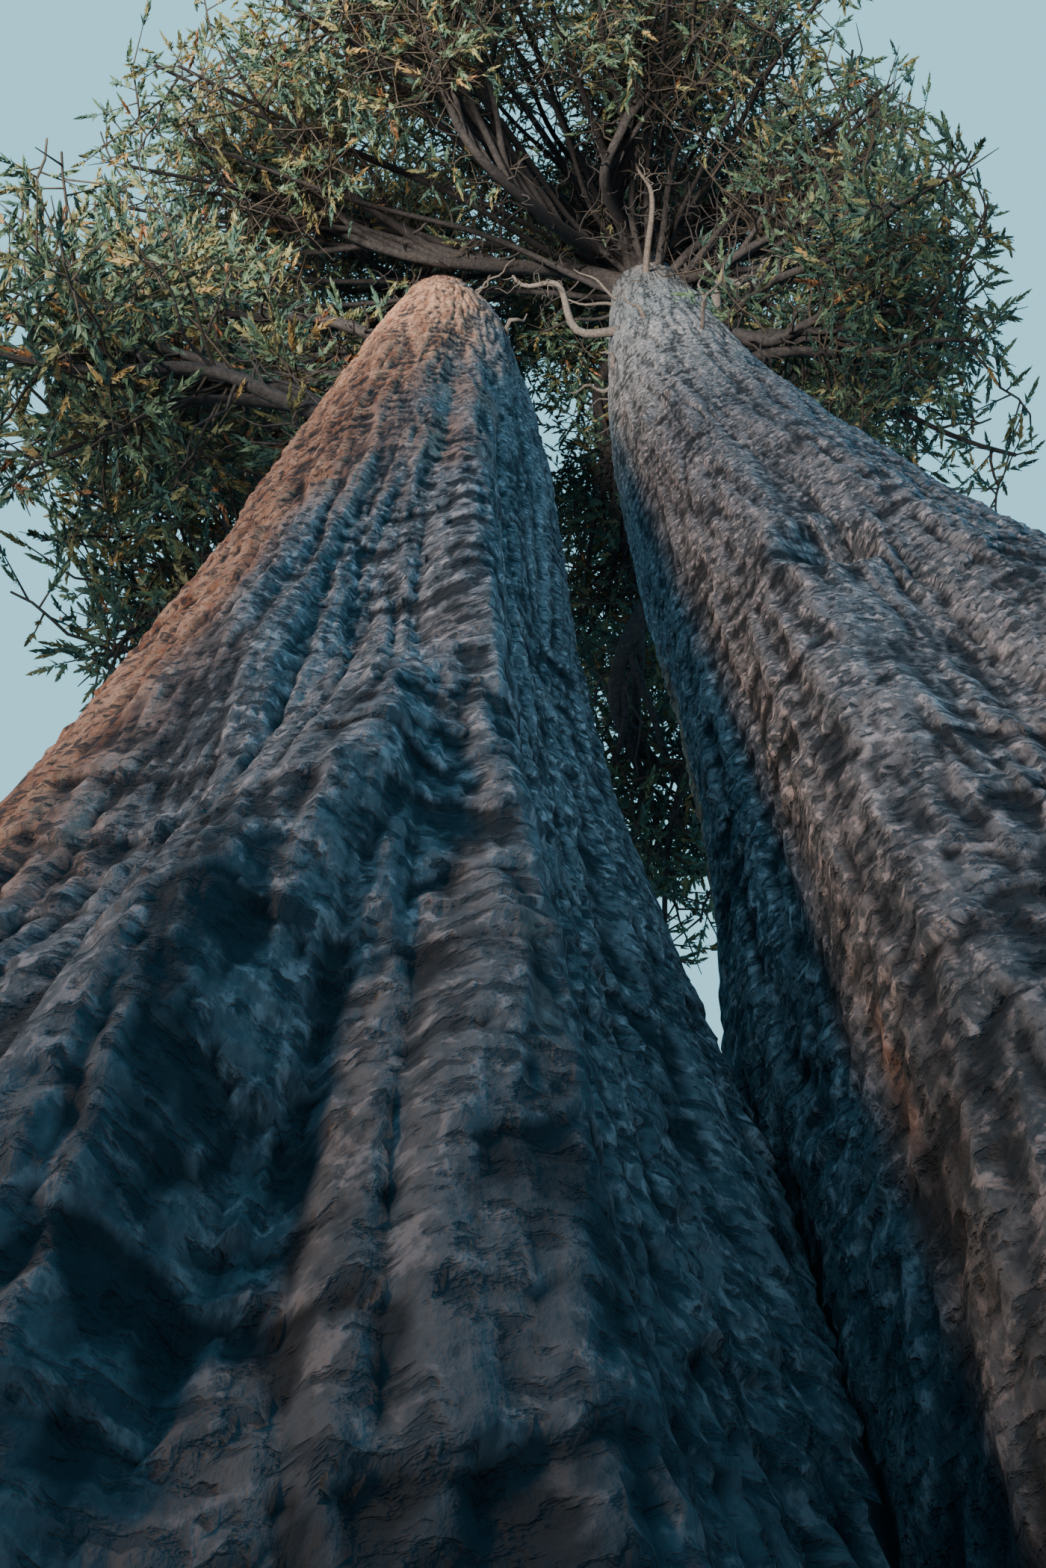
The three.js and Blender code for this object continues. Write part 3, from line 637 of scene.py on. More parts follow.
def inSpace(space, points):
    points = np.atleast_2d(points)
    height = points[:, 2]
    bottom, top = space["bottom"], space["top"]
    overlap, lap = crown["overlap"], crown["lap"]
    stem = space["stem"]
    centre = stemAxis(stem, height)[:, :2] if stem else np.array(tree["crownAxis"])
    offset = points[:, :2] - centre
    distance = np.hypot(offset[:, 0], offset[:, 1])
    around = np.arctan2(offset[:, 1], offset[:, 0])
    offMiddle = (2 * height - bottom - top) / (top - bottom)
    fits = (height > bottom - lap) & (height < top + lap * (not space["tip"]))
    ripple = crown["ripple"] * np.sin(5 * around + 0.7 * height) * np.sin(1.3 * height - 3 * around)
    reach = space["reach"] * (1 - space["rounding"] * offMiddle ** 2 - np.abs(ripple))
    if space["tip"]:
        rise = np.clip((height - bottom) / (top - bottom), 0, 1)
        reach = reach * (1 - crown["tipTaper"] * rise ** 2)
    fits &= distance < reach
    if stem:
        fits &= (distance > stemRadius(stem, height)) | (height > stem["cutAt"])
        fits &= (points[:, 0] - tree["crownAxis"][0]) * np.sign(stem["foot"][0]) > -overlap
    else:
        fits &= distance > space["inner"]
    if space["half"]:
        spare = math.radians(space["half"]) - np.abs(turnFrom(around, space["bearing"]))
        fits &= spare * distance > -overlap
    return fits


# What grows in each mass, by the source's rule carried to finer twigs: more stems, shoots at
# golden-angle turns, a tuft at the end of each, twigs that fill the tuft, and sprays on the twigs
growth = {
    "boughSteps": 26, "pastTip": 0.62, "wave": 0.12, "boughHeel": 0.6,
    "sideBoughs": 3, "spaceForOne": 48,
    "shootsPerStem": 8, "shootStride": 0.27, "shootFrom": 0.1, "shootRange": 0.86, "shootTurn": 0.35,
    "shootPitch": math.radians(68), "shootPitches": (0.8, 1.1), "uprightness": 1.6,
    "shootLength": 2.2, "shootLengths": (0.6, 1.25), "shootWave": 0.06, "shootSag": 0.1, "shootRadius": 0.02,
    "trials": (1.0, 0.8, 0.6, 0.42, 0.28),  # parts of a shoot's length that are tried in turn
    "twigsPerTuft": 8, "tuftRadius": 0.85, "tuftDome": 1.45, "tuftDepth": 0.45, "tuftUp": 0.25,
    "twigLengths": (0.65, 1.1), "twigSag": 0.04, "twigUpturn": 0.08, "twigRadii": (0.02, 0.008),
    "spraysPerTwig": 3, "spraySize": 0.47, "spraySizes": (0.75, 1.25), "spraySpread": 0.5, "endSpread": 0.2,
    "companions": {"low": 1, "mid": 3, "main": 7, "upper": 5},  # thinner boughs beside a mass's own
    "bareTwigs": 9, "bareLengths": (0.5, 2.2), "bareRise": (-0.2, 0.4), "bareWave": 0.12,
    "bareRadii": (0.03, 0.008),
    "companionHeights": (0.06, 0.2), "companionReach": (0.6, 0.93), "companionRadii": (0.08, 0.13),
    "innerTufts": {"low": 8, "mid": 8, "main": 12, "upper": 26},
    "innerReach": {"low": 2.6, "mid": 2.4, "main": 1.6, "upper": 0.3},
    "clearGroups": ("main", "upper"), "clearWay": 0.34,  # where boughs show bare from below, and how wide
    "innerLengths": (0.8, 2.0), "innerUp": 1.3,
    "between": {"bottom": 43.5, "top": 57, "reach": 3.4, "shoots": 26, "shootsPerStem": 4, "spread": 0.8},
    "onStem": 10, "onStemReach": (0.5, 0.8), "tipStems": 3, "tipShoots": 13,
    "bearingShare": 0.88,  # how much of a space's range of bearings its own limbs take
}
store = {}
clearLines = {}


def bezier(controls, steps):
    t = np.linspace(0, 1, steps)[:, None]
    points = [np.asarray(c, float)[None, :] + 0 * t for c in controls]
    while len(points) > 1:
        points = [a * (1 - t) + b * t for a, b in zip(points, points[1:])]
    return points[0]


# A limb is never quite straight: two slow waves bend it sideways, more towards its middle
def gnarled(points, amount, rng):
    share = np.linspace(0, 1, len(points))
    along = unit(points[-1] - points[0])
    side = unit(np.cross(along, [0.3, 0.2, 1.0]))
    lift = np.cross(side, along)
    envelope = np.sin(math.pi * share) * amount
    for direction in (side, lift):
        turns, phase = rng.uniform(1.5, 4.0), rng.uniform(0, fullTurn)
        points = points + direction * (envelope * np.sin(share * turns * math.pi + phase))[:, None]
    return points


def pointOn(points, share):
    place = share * (len(points) - 1)
    low = min(int(place), len(points) - 2)
    return points[low] * (low + 1 - place) + points[low + 1] * (place - low)


def between(low, high, share):
    return low + (high - low) * share


def addLimb(group, kind, points, rootRadius, endRadius):
    radii = np.linspace(rootRadius, endRadius, len(points))
    store.setdefault((group, kind), []).append((points, radii))


def growTuft(group, space, shoot, size, rng):
    count = growth["twigsPerTuft"]
    heading = unit(shoot[-1] - shoot[-2])
    order = np.arange(count)
    # Directions spread evenly over a dome that opens along the shoot
    rise = 1 - growth["tuftDome"] * (order + 0.5) / count
    turn = order * tree["goldenAngle"] + rng.uniform(0, fullTurn)
    side = unit(np.cross(heading, [0.1, 0.05, 1.0]))
    lift = np.cross(side, heading)
    ring = np.sqrt(np.maximum(1 - rise ** 2, 0))[:, None]
    aim = heading * rise[:, None] + ring * (side * np.cos(turn)[:, None] + lift * np.sin(turn)[:, None])
    aim = unit(aim + [0, 0, growth["tuftUp"]])
    length = growth["tuftRadius"] * size * rng.uniform(*growth["twigLengths"], count)
    root = np.array([pointOn(shoot, s) for s in 1 - growth["tuftDepth"] * order / count])
    # Each twig hangs a little in its middle, and its end turns up
    middle = root + aim * (length * 0.5)[:, None] - [0, 0, growth["twigSag"]]
    end = root + aim * length[:, None] + [0, 0, growth["twigUpturn"]]
    fits = inSpace(space, end)
    for index in np.nonzero(fits)[0]:
        addLimb(group, "twigs", np.array([root[index], end[index]]), *growth["twigRadii"])
    count = int(fits.sum())
    if count == 0:
        return
    root, middle, end, aim = root[fits], middle[fits], end[fits], aim[fits]
    perTwig = growth["spraysPerTwig"]
    for step in range(perTwig):
        share = (step + 0.6) / perTwig
        place = middle + (end - middle) * share if step else root * 0.35 + middle * 0.65
        spin = rng.normal(0, 1, (count, 3))
        direction = unit(aim + spin * growth["spraySpread" if step < perTwig - 1 else "endSpread"])
        scale = rng.uniform(*growth["spraySizes"], count) * growth["spraySize"]
        tip = place + direction * scale[:, None]
        keep = inSpace(space, tip) & inSpace(space, place)
        store.setdefault((group, "sprays"), []).append(
            np.concatenate([place[keep], direction[keep], scale[keep][:, None]], axis=1))


# Shoots stand round a mass's own stem; one that leaves the space is tried shorter, then skipped
def growStem(group, space, line, radius, seed, rng, shoots):
    axis = unit(line[-1] - line[0])
    side = unit(np.cross(axis, bearingVector(0) if abs(axis[2]) > 0.9 else [0.0, 0.0, 1.0]))
    lift = np.cross(side, axis)
    growTuft(group, space, line[-4:], 1.0, rng)
    for step in range(shoots):
        share = (step * growth["shootStride"] + 0.13) % 1
        base = pointOn(line, growth["shootFrom"] + growth["shootRange"] * share)
        turn = step * tree["goldenAngle"] + seed + rng.uniform(-growth["shootTurn"], growth["shootTurn"])
        outward = side * math.cos(turn) + lift * math.sin(turn)
        outward = unit(outward * [1, 1, growth["uprightness"]])
        pitch = growth["shootPitch"] * rng.uniform(*growth["shootPitches"])
        heading = axis * math.cos(pitch) + outward * math.sin(pitch)
        length = growth["shootLength"] * rng.uniform(*growth["shootLengths"])
        for trial in growth["trials"]:
            end = base + heading * length * trial
            if inSpace(space, end)[0]:
                sag = base + heading * length * trial * 0.5 - [0, 0, growth["shootSag"] * length * trial]
                shoot = gnarled(bezier([base, sag, end], 6), growth["shootWave"], rng)
                addLimb(group, "twigs", shoot, radius * 0.5 + 0.012, growth["shootRadius"])
                growTuft(group, space, shoot, 0.75 + 0.35 * trial, rng)
                break


# Leafy shoots from where a line enters its space to its end
def growAlong(group, space, line, seed, rng, shoots):
    inside = np.nonzero(inSpace(space, line))[0]
    if len(inside) > 3:
        growStem(group, space, line[inside[0]:], 0.04, seed, rng, shoots)


# Bare side twigs on the part of a bough that the shade has stripped
def growBare(group, line, rng):
    for step in range(growth["bareTwigs"]):
        root = pointOn(line, 0.12 + 0.5 * step / growth["bareTwigs"])
        along = unit(line[-1] - line[0])
        aim = unit(np.cross(along, rng.normal(0, 1, 3)) + along * 0.8)
        length = rng.uniform(*growth["bareLengths"])
        end = root + aim * length + [0, 0, rng.uniform(*growth["bareRise"])]
        twig = gnarled(bezier([root, root + aim * length * 0.5, end], 9), growth["bareWave"], rng)
        addLimb(group, "bare", twig, *growth["bareRadii"])


# A few leafy shoots on the upper side of a bough, nearer the stems than its mass
def growInner(group, space, line, rng):
    inner = {**space, "inner": growth["innerReach"][group]}
    tufts = growth["innerTufts"][group]
    for step in range(tufts):
        root = pointOn(line, 0.06 + 0.64 * step / tufts)
        aim = unit(rng.normal(0, 1, 3) * [1, 1, 0.3] + [0, 0, growth["innerUp"]])
        end = root + aim * rng.uniform(*growth["innerLengths"])
        if inSpace(inner, end)[0]:
            shoot = gnarled(bezier([root, (root + end) / 2, end], 6), growth["shootWave"], rng)
            addLimb(group, "twigs", shoot, 0.03, growth["shootRadius"])
            growTuft(group, inner, shoot, 0.9, rng)


# Side boughs spread evenly over the bearings, heights and reach of their space
def growSideBough(group, space, whole, side, seed, rng):
    root = pointOn(whole, 0.28 + 0.4 * ((side * 0.618 + 0.2) % 1))
    across = growth["bearingShare"] * (2 * ((side * 0.755 + 0.1 * seed) % 1) - 1)
    height = between(space["bottom"], space["top"], 0.04 + 0.93 * ((side * 0.57 + 0.27) % 1))
    reach = between(space["inner"], space["reach"], 0.4 + 0.56 * ((side * 0.43 + 0.31) % 1))
    target = onCrownAxis(height) + bearingVector(space["bearing"] + space["half"] * across) * reach
    far = np.linalg.norm(target - root)
    control = root + unit(whole[-1] - root) * far * 0.45 + [0, 0, 0.15 * (height - root[2])]
    line = gnarled(bezier([root, control, target], 18), 0.02 * far, rng)
    addLimb(group, "boughs", line, 0.045 + 0.01 * far, 0.03)
    growAlong(group, space, line, seed + side, rng, growth["shootsPerStem"])


# Companions fan out from the stem beside a mass's own bough, low in its space
def growCompanion(group, space, stem, start, side, seed, rng):
    spread = 1.7 * ((side + 0.5) / growth["companions"][group] - 0.5) + rng.uniform(-0.12, 0.12)
    height = between(space["bottom"], space["top"], rng.uniform(*growth["companionHeights"]))
    reach = between(space["inner"], space["reach"], rng.uniform(*growth["companionReach"]))
    target = onCrownAxis(height) + bearingVector(space["bearing"] + space["half"] * spread) * reach
    root = stemAxis(stem, start + rng.uniform(-1.6, 2.4))
    away = unit((target - root) * [1, 1, 0])
    control = root + away * 2.2 + [0, 0, rng.uniform(0.0, 1.2)]
    past = (control + target) / 2 + [0, 0, 0.5]
    line = gnarled(bezier([root, control, past, target], growth["boughSteps"]), 0.16, rng)
    clear = np.linalg.norm(line[:, :2] - root[:2], axis=1) > 0.55 * stemRadius(stem, root[2])
    line = line[int(np.argmax(clear)):]
    addLimb(group, "boughs", line, rng.uniform(*growth["companionRadii"]), 0.035)
    growBare(group, line, rng)
    if group in growth["clearGroups"]:
        clearLines.setdefault(group, []).append(line)
    growAlong(group, space, line, seed + side, rng, growth["shootsPerStem"] // 2)


# The mass's own bough: the source's, carried on to near the end of the mass
def ownBough(level, mass, space, stem, seed, rng):
    steps = growth["boughSteps"]
    outward = bearingVector(mass["bearing"])
    sideways = np.cross([0, 0, 1], outward)
    middle = (space["bottom"] + space["top"]) / 2 + (scatter(seed, 1) - 0.5) * 1.6
    tip = onCrownAxis(middle) + outward * level["inner"]
    heading = unit(outward + [0, 0, 0.12])
    start = stemAxis(stem, mass["start"])
    span = np.linalg.norm(tip - start)
    control = start + (tip - start) * 0.4 + sideways * mass["bow"]
    control[2] = mass["start"] + 0.35
    bough = bezier([start, control, tip - heading * 0.3 * span, tip], steps)
    end = tip + heading * (mass["reach"] - level["inner"]) * growth["pastTip"]
    whole = np.concatenate([bough, bezier([tip, (tip + end) / 2, end], 12)[1:]])
    whole = gnarled(whole, growth["wave"], rng)
    offAxis = np.linalg.norm(whole[:, :2] - stemAxis(stem, whole[:, 2])[:, :2], axis=1)
    first = max(int(np.argmax(offAxis > 0.6 * stemRadius(stem, whole[:, 2]))) - 1, 0)
    # It thickens where it leaves the stem, and is thin past its source's tip
    thin = [0.8 * level["boughRadius"], 0.1, 0.045]
    radii = np.interp(np.linspace(0, 1, len(whole)), [0, 0.65, 1], thin)
    fromStem = np.linalg.norm(whole - whole[first], axis=1) - stemRadius(stem, whole[first, 2]) * 0.4
    radii = radii * (1 + growth["boughHeel"] * np.exp(-np.maximum(fromStem, 0) / 0.4))
    return whole[first:], radii[first:], whole[steps - 1:]


def growRing(level, mass, seed):
    rng = np.random.default_rng(seed)
    group = level["name"]
    space = ringSpace(level, mass)
    stem = stems[mass["stem"]]
    whole, radii, leafy = ownBough(level, mass, space, stem, seed, rng)
    store.setdefault((group, "boughs"), []).append((whole, radii))
    growStem(group, space, leafy, 0.05, seed, rng, growth["shootsPerStem"])
    if group in growth["clearGroups"]:
        clearLines.setdefault(group, []).append(whole)
    growBare(group, whole, rng)
    growInner(group, space, whole, rng)
    area = math.radians(space["half"]) * (space["reach"] ** 2 - space["inner"] ** 2)
    volume = area * (space["top"] - space["bottom"])
    for side in range(growth["sideBoughs"] + round(volume / growth["spaceForOne"])):
        growSideBough(group, space, whole, side, seed, rng)
    for side in range(growth["companions"][group]):
        growCompanion(group, space, stem, mass["start"], side, seed, rng)


# Leafy shoots in the middle of the crown, from each stem towards the other
def growBetween():
    rng = np.random.default_rng(91)
    plan = growth["between"]
    space = {**plan, "half": None, "inner": 0, "rounding": 0, "stem": None, "tip": False}
    for step in range(plan["shoots"]):
        height = plan["bottom"] + (plan["top"] - plan["bottom"]) * (step + 0.5) / plan["shoots"]
        root = stemAxis(stems["left" if step % 2 else "right"], height)
        target = onCrownAxis(height + 0.8) + rng.normal(0, plan["spread"], 3)
        line = gnarled(bezier([root, (root + target) / 2 - [0, 0, 0.2], target], 12), 0.12, rng)
        addLimb("upper", "boughs", line, 0.07, 0.025)
        growStem("upper", space, line[5:], 0.03, step, rng, plan["shootsPerStem"])


# The source's own scatter, so that each bough here follows the same bough there
def scatter(seed, step):
    wave = math.sin(seed * 12.9898 + step * 78.233) * 43758.5453
    return wave - math.floor(wave)


def growTip(mass, space, stem, seed, rng):
    root = stemAxis(stem, stem["cutAt"])
    end = stemAxis(stem, mass["top"] - 0.6)
    line = bezier([root, (root + end) / 2, end], 12)
    addLimb("top", "boughs", line, float(stemRadius(stem, stem["cutAt"])) * 0.95, 0.03)
    low = stemAxis(stem, mass["bottom"])
    whole = bezier([low, (low + end) / 2, end], 12)
    for turn in range(growth["tipStems"]):
        growStem("top", space, whole, 0.04, seed + turn * 0.8, rng, growth["tipShoots"])


def growOnStem(mass, seed):
    rng = np.random.default_rng(seed)
    space = stemSpace(mass)
    stem = stems[mass["stem"]]
    if mass["ends"]:
        growTip(mass, space, stem, seed, rng)
        return
    for side in range(growth["onStem"]):
        height = mass["bottom"] + (mass["top"] - mass["bottom"]) * (0.03 + 0.1 * side)
        across = growth["bearingShare"] * (2 * ((side * 0.618 + 0.3) % 1) - 1)
        start = stemAxis(stem, height)
        heading = unit(bearingVector(mass["bearing"] + mass["half"] * across) + [0, 0, 0.3])
        end = start + heading * mass["reach"] * rng.uniform(*growth["onStemReach"])
        line = gnarled(bezier([start, (start + end) / 2 - [0, 0, 0.15], end], 12), 0.1, rng)
        addLimb("top", "boughs", line, 0.1, 0.03)
        growStem("top", space, line[4:], 0.04, seed + side, rng, growth["shootsPerStem"])


def growCrown():
    seed = 1
    for level in levels:
        for mass in level["masses"]:
            growRing(level, mass, seed)
            seed += 1
    for mass in stemMasses:
        growOnStem(mass, seed)
        seed += 1
    growBetween()


growCrown()
print("grown", {key: len(value) for key, value in store.items()})
print("sprays", sum(len(part) for (group, kind), parts in store.items()
                    if kind == "sprays" for part in parts))

# Dead limbs, stubs and the curly dead twigs that hang on under the live crown
deadLimbs = {
    "dead_limb_1": {"height": 33.5, "bearing": 205, "length": 2.3, "radius": 0.13, "rise": 1.1},
    "dead_limb_2": {"height": 34.5, "bearing": 318, "length": 1.5, "radius": 0.16, "rise": 0.3},
    "dead_limb_3": {"height": 39.6, "bearing": 262, "length": 2.6, "radius": 0.11, "rise": 1.9},
}
deadGrowth = {
    "limbStem": "right", "limbWave": 0.34, "limbTaper": 0.22,
    "twigsPerLimb": 7, "twigLengths": (0.3, 0.9), "twigWave": 0.12, "twigRadii": (0.02, 0.006),
    "stubs": 34, "stubHeights": (27, 46), "stubLengths": (0.35, 1.7), "stubTurn": (-20, 20),
    "stubRise": (-0.3, 0.5), "stubWave": 0.1, "stubRadii": (0.03, 0.08),
}


def growDeadLimb(plan, rng):
    stem = stems[deadGrowth["limbStem"]]
    outward = bearingVector(plan["bearing"])
    start = stemAxis(stem, plan["height"])
    reach = plan["length"] + float(stemRadius(stem, plan["height"]))
    end = start + outward * reach + [0, 0, plan["rise"]]
    line = gnarled(bezier([start, start + outward * reach * 0.7, end], 22), deadGrowth["limbWave"], rng)
    addLimb("dead", "limbs", line, plan["radius"], plan["radius"] * deadGrowth["limbTaper"])
    for step in range(deadGrowth["twigsPerLimb"]):
        root = pointOn(line, 0.6 + 0.4 * step / deadGrowth["twigsPerLimb"])
        aim = unit(rng.normal(0, 1, 3) + outward)
        length = rng.uniform(*deadGrowth["twigLengths"])
        twig = bezier([root, root + aim * length * 0.6, root + aim * length], 9)
        addLimb("dead", "twigs", gnarled(twig, deadGrowth["twigWave"], rng), *deadGrowth["twigRadii"])


def growStub(stem, rng):
    height = rng.uniform(*deadGrowth["stubHeights"])
    bearing = rng.uniform(0, 360)
    start = stemAxis(stem, height) + bearingVector(bearing) * float(stemRadius(stem, height)) * 0.8
    aim = unit(bearingVector(bearing + rng.uniform(*deadGrowth["stubTurn"]))
               + [0, 0, rng.uniform(*deadGrowth["stubRise"])])
    length = rng.uniform(*deadGrowth["stubLengths"])
    end = start + aim * length + [0, 0, 0.15]
    line = gnarled(bezier([start, start + aim * length * 0.6, end], 10), deadGrowth["stubWave"], rng)
    addLimb("dead", "limbs", line, rng.uniform(*deadGrowth["stubRadii"]), 0.012)


def growDead():
    rng = np.random.default_rng(77)
    for plan in deadLimbs.values():
        growDeadLimb(plan, rng)
    for step in range(deadGrowth["stubs"]):
        growStub(stems["right" if step % 3 else "left"], rng)


growDead()

# A limb follows its line: a round section, scaled by its own radius, with knobbly bark
limbSection = {
    "sides": {"boughs": 9, "bare": 4, "limbs": 7, "twigs": 3},
    "relief": {"boughs": 0.16, "bare": 0.0, "limbs": 0.12, "twigs": 0.0},  # part of the radius
    "knotScale": 7.0,  # knots about 140 mm apart
}


def limbTree():
    nodeTree, given = openTree("limbSection", {"Sides": "Int", "Relief": "Float", "Knot Scale": "Float",
                                               "Bark": "Material"})
    radius = addNode(nodeTree, "GeometryNodeInputNamedAttribute", {"data_type": "FLOAT"},
                     {"Name": "limbRadius"})
    curve = addNode(nodeTree, "GeometryNodeMeshToCurve", None, {0: given.outputs["Geometry"]})
    section = addNode(nodeTree, "GeometryNodeCurvePrimitiveCircle", {"mode": "RADIUS"},
                      {"Resolution": given.outputs["Sides"], "Radius": 1.0})
    tube = addNode(nodeTree, "GeometryNodeCurveToMesh", None,
                   {"Curve": curve, "Profile Curve": section, "Scale": radius, "Fill Caps": True})
    position = addNode(nodeTree, "GeometryNodeInputPosition")
    knots = addNode(nodeTree, "ShaderNodeTexNoise", None,
                    {"Vector": position, "Scale": given.outputs["Knot Scale"], "Detail": 3})
    knotOut = addNode(nodeTree, "ShaderNodeMath", {"operation": "SUBTRACT"}, {0: knots, 1: 0.5})
    depth = addNode(nodeTree, "ShaderNodeMath", {"operation": "MULTIPLY"},
                    {0: radius, 1: given.outputs["Relief"]})
    knotLift = addNode(nodeTree, "ShaderNodeMath", {"operation": "MULTIPLY"}, {0: knotOut, 1: depth})
    # Noise stays near its middle, and four times its swing fills the relief
    fourfold = addNode(nodeTree, "ShaderNodeMath", {"operation": "MULTIPLY"}, {0: knotLift, 1: 4.0})
    normal = addNode(nodeTree, "GeometryNodeInputNormal")
    moved = addNode(nodeTree, "ShaderNodeVectorMath", {"operation": "SCALE"}, {0: normal, "Scale": fourfold})
    shaped = addNode(nodeTree, "GeometryNodeSetPosition", None, {"Geometry": tube, "Offset": moved})
    smooth = addNode(nodeTree, "GeometryNodeSetShadeSmooth", None, {0: shaped})
    return closeTree(nodeTree, smooth, given.outputs["Bark"])


def limbPiece(name, limbs, kind, barkName, nodeTree, nodes):
    counts = [len(points) for points, radii in limbs]
    starts = np.cumsum([0] + counts[:-1])
    edges = np.concatenate([np.stack([np.arange(count - 1), np.arange(1, count)], axis=1) + start
                            for count, start in zip(counts, starts)])
    points = np.concatenate([points for points, radii in limbs])
    radii = np.concatenate([radii for points, radii in limbs]) * shrink
    piece = newPiece(name, points, edges=edges.tolist(), attributes={"limbRadius": ("FLOAT", radii)})
    values = {"Sides": limbSection["sides"][kind], "Relief": limbSection["relief"][kind],
              "Knot Scale": limbSection["knotScale"], "Bark": materials[barkName]}
    settleTree(piece, nodeTree, values, ["limbRadius"])
    finishPiece(piece, nodes)


# A spray: slim pointed needle clusters in golden-angle turns along a short cord. Lengths are in parts
# of the spray's size. A cluster is one triangle, larger than life so that the crown closes
spray = {"Clusters": 17, "Cord": 0.8, "Cluster Length": 0.31, "Cluster Width": 0.135,
         "Pitch": math.radians(50), "Seed": 3}
blade = {"corners": 3, "radius": 0.6, "forward": 0.3, "least": 0.75, "most": 1.2,
         "tipFrom": 0.92, "tipPitch": 0.08}  # from there on a cluster keeps that share of the pitch
pieceLimit = 190000  # triangles


def sprayTree():
    nodeTree, given = openTree("needleSpray", {
        "Clusters": "Int", "Cord": "Float", "Cluster Length": "Float", "Cluster Width": "Float",
        "Pitch": "Float", "Seed": "Int", "Needles": "Material"})
    turn, size = [addNode(nodeTree, "GeometryNodeInputNamedAttribute", {"data_type": kind}, {"Name": name})
                  for name, kind in (("sprayTurn", "FLOAT_VECTOR"), ("spraySize", "FLOAT"))]
    spacing = addNode(nodeTree, "ShaderNodeMath", {"operation": "DIVIDE"},
                      {0: given.outputs["Cord"], 1: given.outputs["Clusters"]})
    cord = addNode(nodeTree, "GeometryNodeMeshLine", {"mode": "OFFSET"},
                   {"Count": given.outputs["Clusters"],
                    "Offset": addNode(nodeTree, "ShaderNodeCombineXYZ", None, {0: spacing})})
    # A circle of three points, drawn out to a cluster whose tip points away from the cord
    leaf = addNode(nodeTree, "GeometryNodeMeshCircle", {"fill_type": "NGON"},
                   {"Vertices": blade["corners"], "Radius": blade["radius"]})
    longways = addNode(nodeTree, "ShaderNodeCombineXYZ", None,
                       {0: given.outputs["Cluster Length"], 1: given.outputs["Cluster Width"], 2: 1.0})
    ahead = addNode(nodeTree, "ShaderNodeMath", {"operation": "MULTIPLY"},
                    {0: given.outputs["Cluster Length"], 1: blade["forward"]})
    cluster = addNode(nodeTree, "GeometryNodeTransform", None,
                      {"Geometry": leaf, "Scale": longways,
                       "Translation": addNode(nodeTree, "ShaderNodeCombineXYZ", None, {0: ahead})})
    # Clusters stand off at the pitch, and close up towards the cord's end
    index = addNode(nodeTree, "GeometryNodeInputIndex")
    along = addNode(nodeTree, "ShaderNodeMath", {"operation": "DIVIDE"},
                    {0: index, 1: given.outputs["Clusters"]})
    close = addNode(nodeTree, "ShaderNodeMapRange", None,
                    {0: along, 1: 0.0, 2: blade["tipFrom"], 3: 1.0, 4: blade["tipPitch"]})
    pitch = addNode(nodeTree, "ShaderNodeMath", {"operation": "MULTIPLY"},
                    {0: given.outputs["Pitch"], 1: close})
    golden = addNode(nodeTree, "ShaderNodeMath", {"operation": "MULTIPLY"},
                     {0: index, 1: tree["goldenAngle"]})
    wave = {(angle, operation): addNode(nodeTree, "ShaderNodeMath", {"operation": operation}, {0: node})
            for angle, node in (("pitch", pitch), ("golden", golden)) for operation in ("SINE", "COSINE")}
    across = [addNode(nodeTree, "ShaderNodeMath", {"operation": "MULTIPLY"},
                      {0: wave["pitch", "SINE"], 1: wave["golden", operation]})
              for operation in ("COSINE", "SINE")]
    aim = addNode(nodeTree, "ShaderNodeCombineXYZ", None,
                  {0: wave["pitch", "COSINE"], 1: across[0], 2: across[1]})
    roll = addNode(nodeTree, "FunctionNodeRandomValue", {"data_type": "FLOAT"},
                   {2: 0.0, 3: fullTurn, "Seed": given.outputs["Seed"]})
    rolled = addNode(nodeTree, "FunctionNodeEulerToRotation", None,
                     {0: addNode(nodeTree, "ShaderNodeCombineXYZ", None, {0: roll.outputs[1]})})
    facing = addNode(nodeTree, "FunctionNodeAlignRotationToVector", {"axis": "X"},
                     {"Rotation": rolled, "Vector": aim})
    nextSeed = addNode(nodeTree, "ShaderNodeMath", {"operation": "ADD"},
                       {0: given.outputs["Seed"], 1: 1.0})
    varied = addNode(nodeTree, "FunctionNodeRandomValue", {"data_type": "FLOAT"},
                     {2: blade["least"], 3: blade["most"], "Seed": nextSeed})
    clump = addNode(nodeTree, "GeometryNodeInstanceOnPoints", None,
                    {"Points": cord, "Instance": cluster, "Rotation": facing, "Scale": varied.outputs[1]})
    oneSpray = addNode(nodeTree, "GeometryNodeRealizeInstances", None, {0: clump})
    rotation = addNode(nodeTree, "FunctionNodeEulerToRotation", None, {0: turn})
    sprays = addNode(nodeTree, "GeometryNodeInstanceOnPoints", None,
                     {"Points": given.outputs["Geometry"], "Instance": oneSpray, "Rotation": rotation,
                      "Scale": size})
    return closeTree(nodeTree, sprays, given.outputs["Needles"])


def sprayPiece(name, sprays, tint, nodeTree, nodes, rng):
    place, direction, size = sprays[:, :3], sprays[:, 3:6], sprays[:, 6] * shrink
    roll = rng.uniform(0, fullTurn, len(sprays))
    fall = -np.arcsin(np.clip(direction[:, 2], -1, 1))
    turn = np.stack([roll, fall, np.arctan2(direction[:, 1], direction[:, 0])], axis=1)
    piece = newPiece(name, place, attributes={
        "sprayTurn": ("FLOAT_VECTOR", turn), "spraySize": ("FLOAT", size)})
    settleTree(piece, nodeTree, {**spray, "Needles": materials[tint]}, ["sprayTurn", "spraySize"])
    finishPiece(piece, nodes)


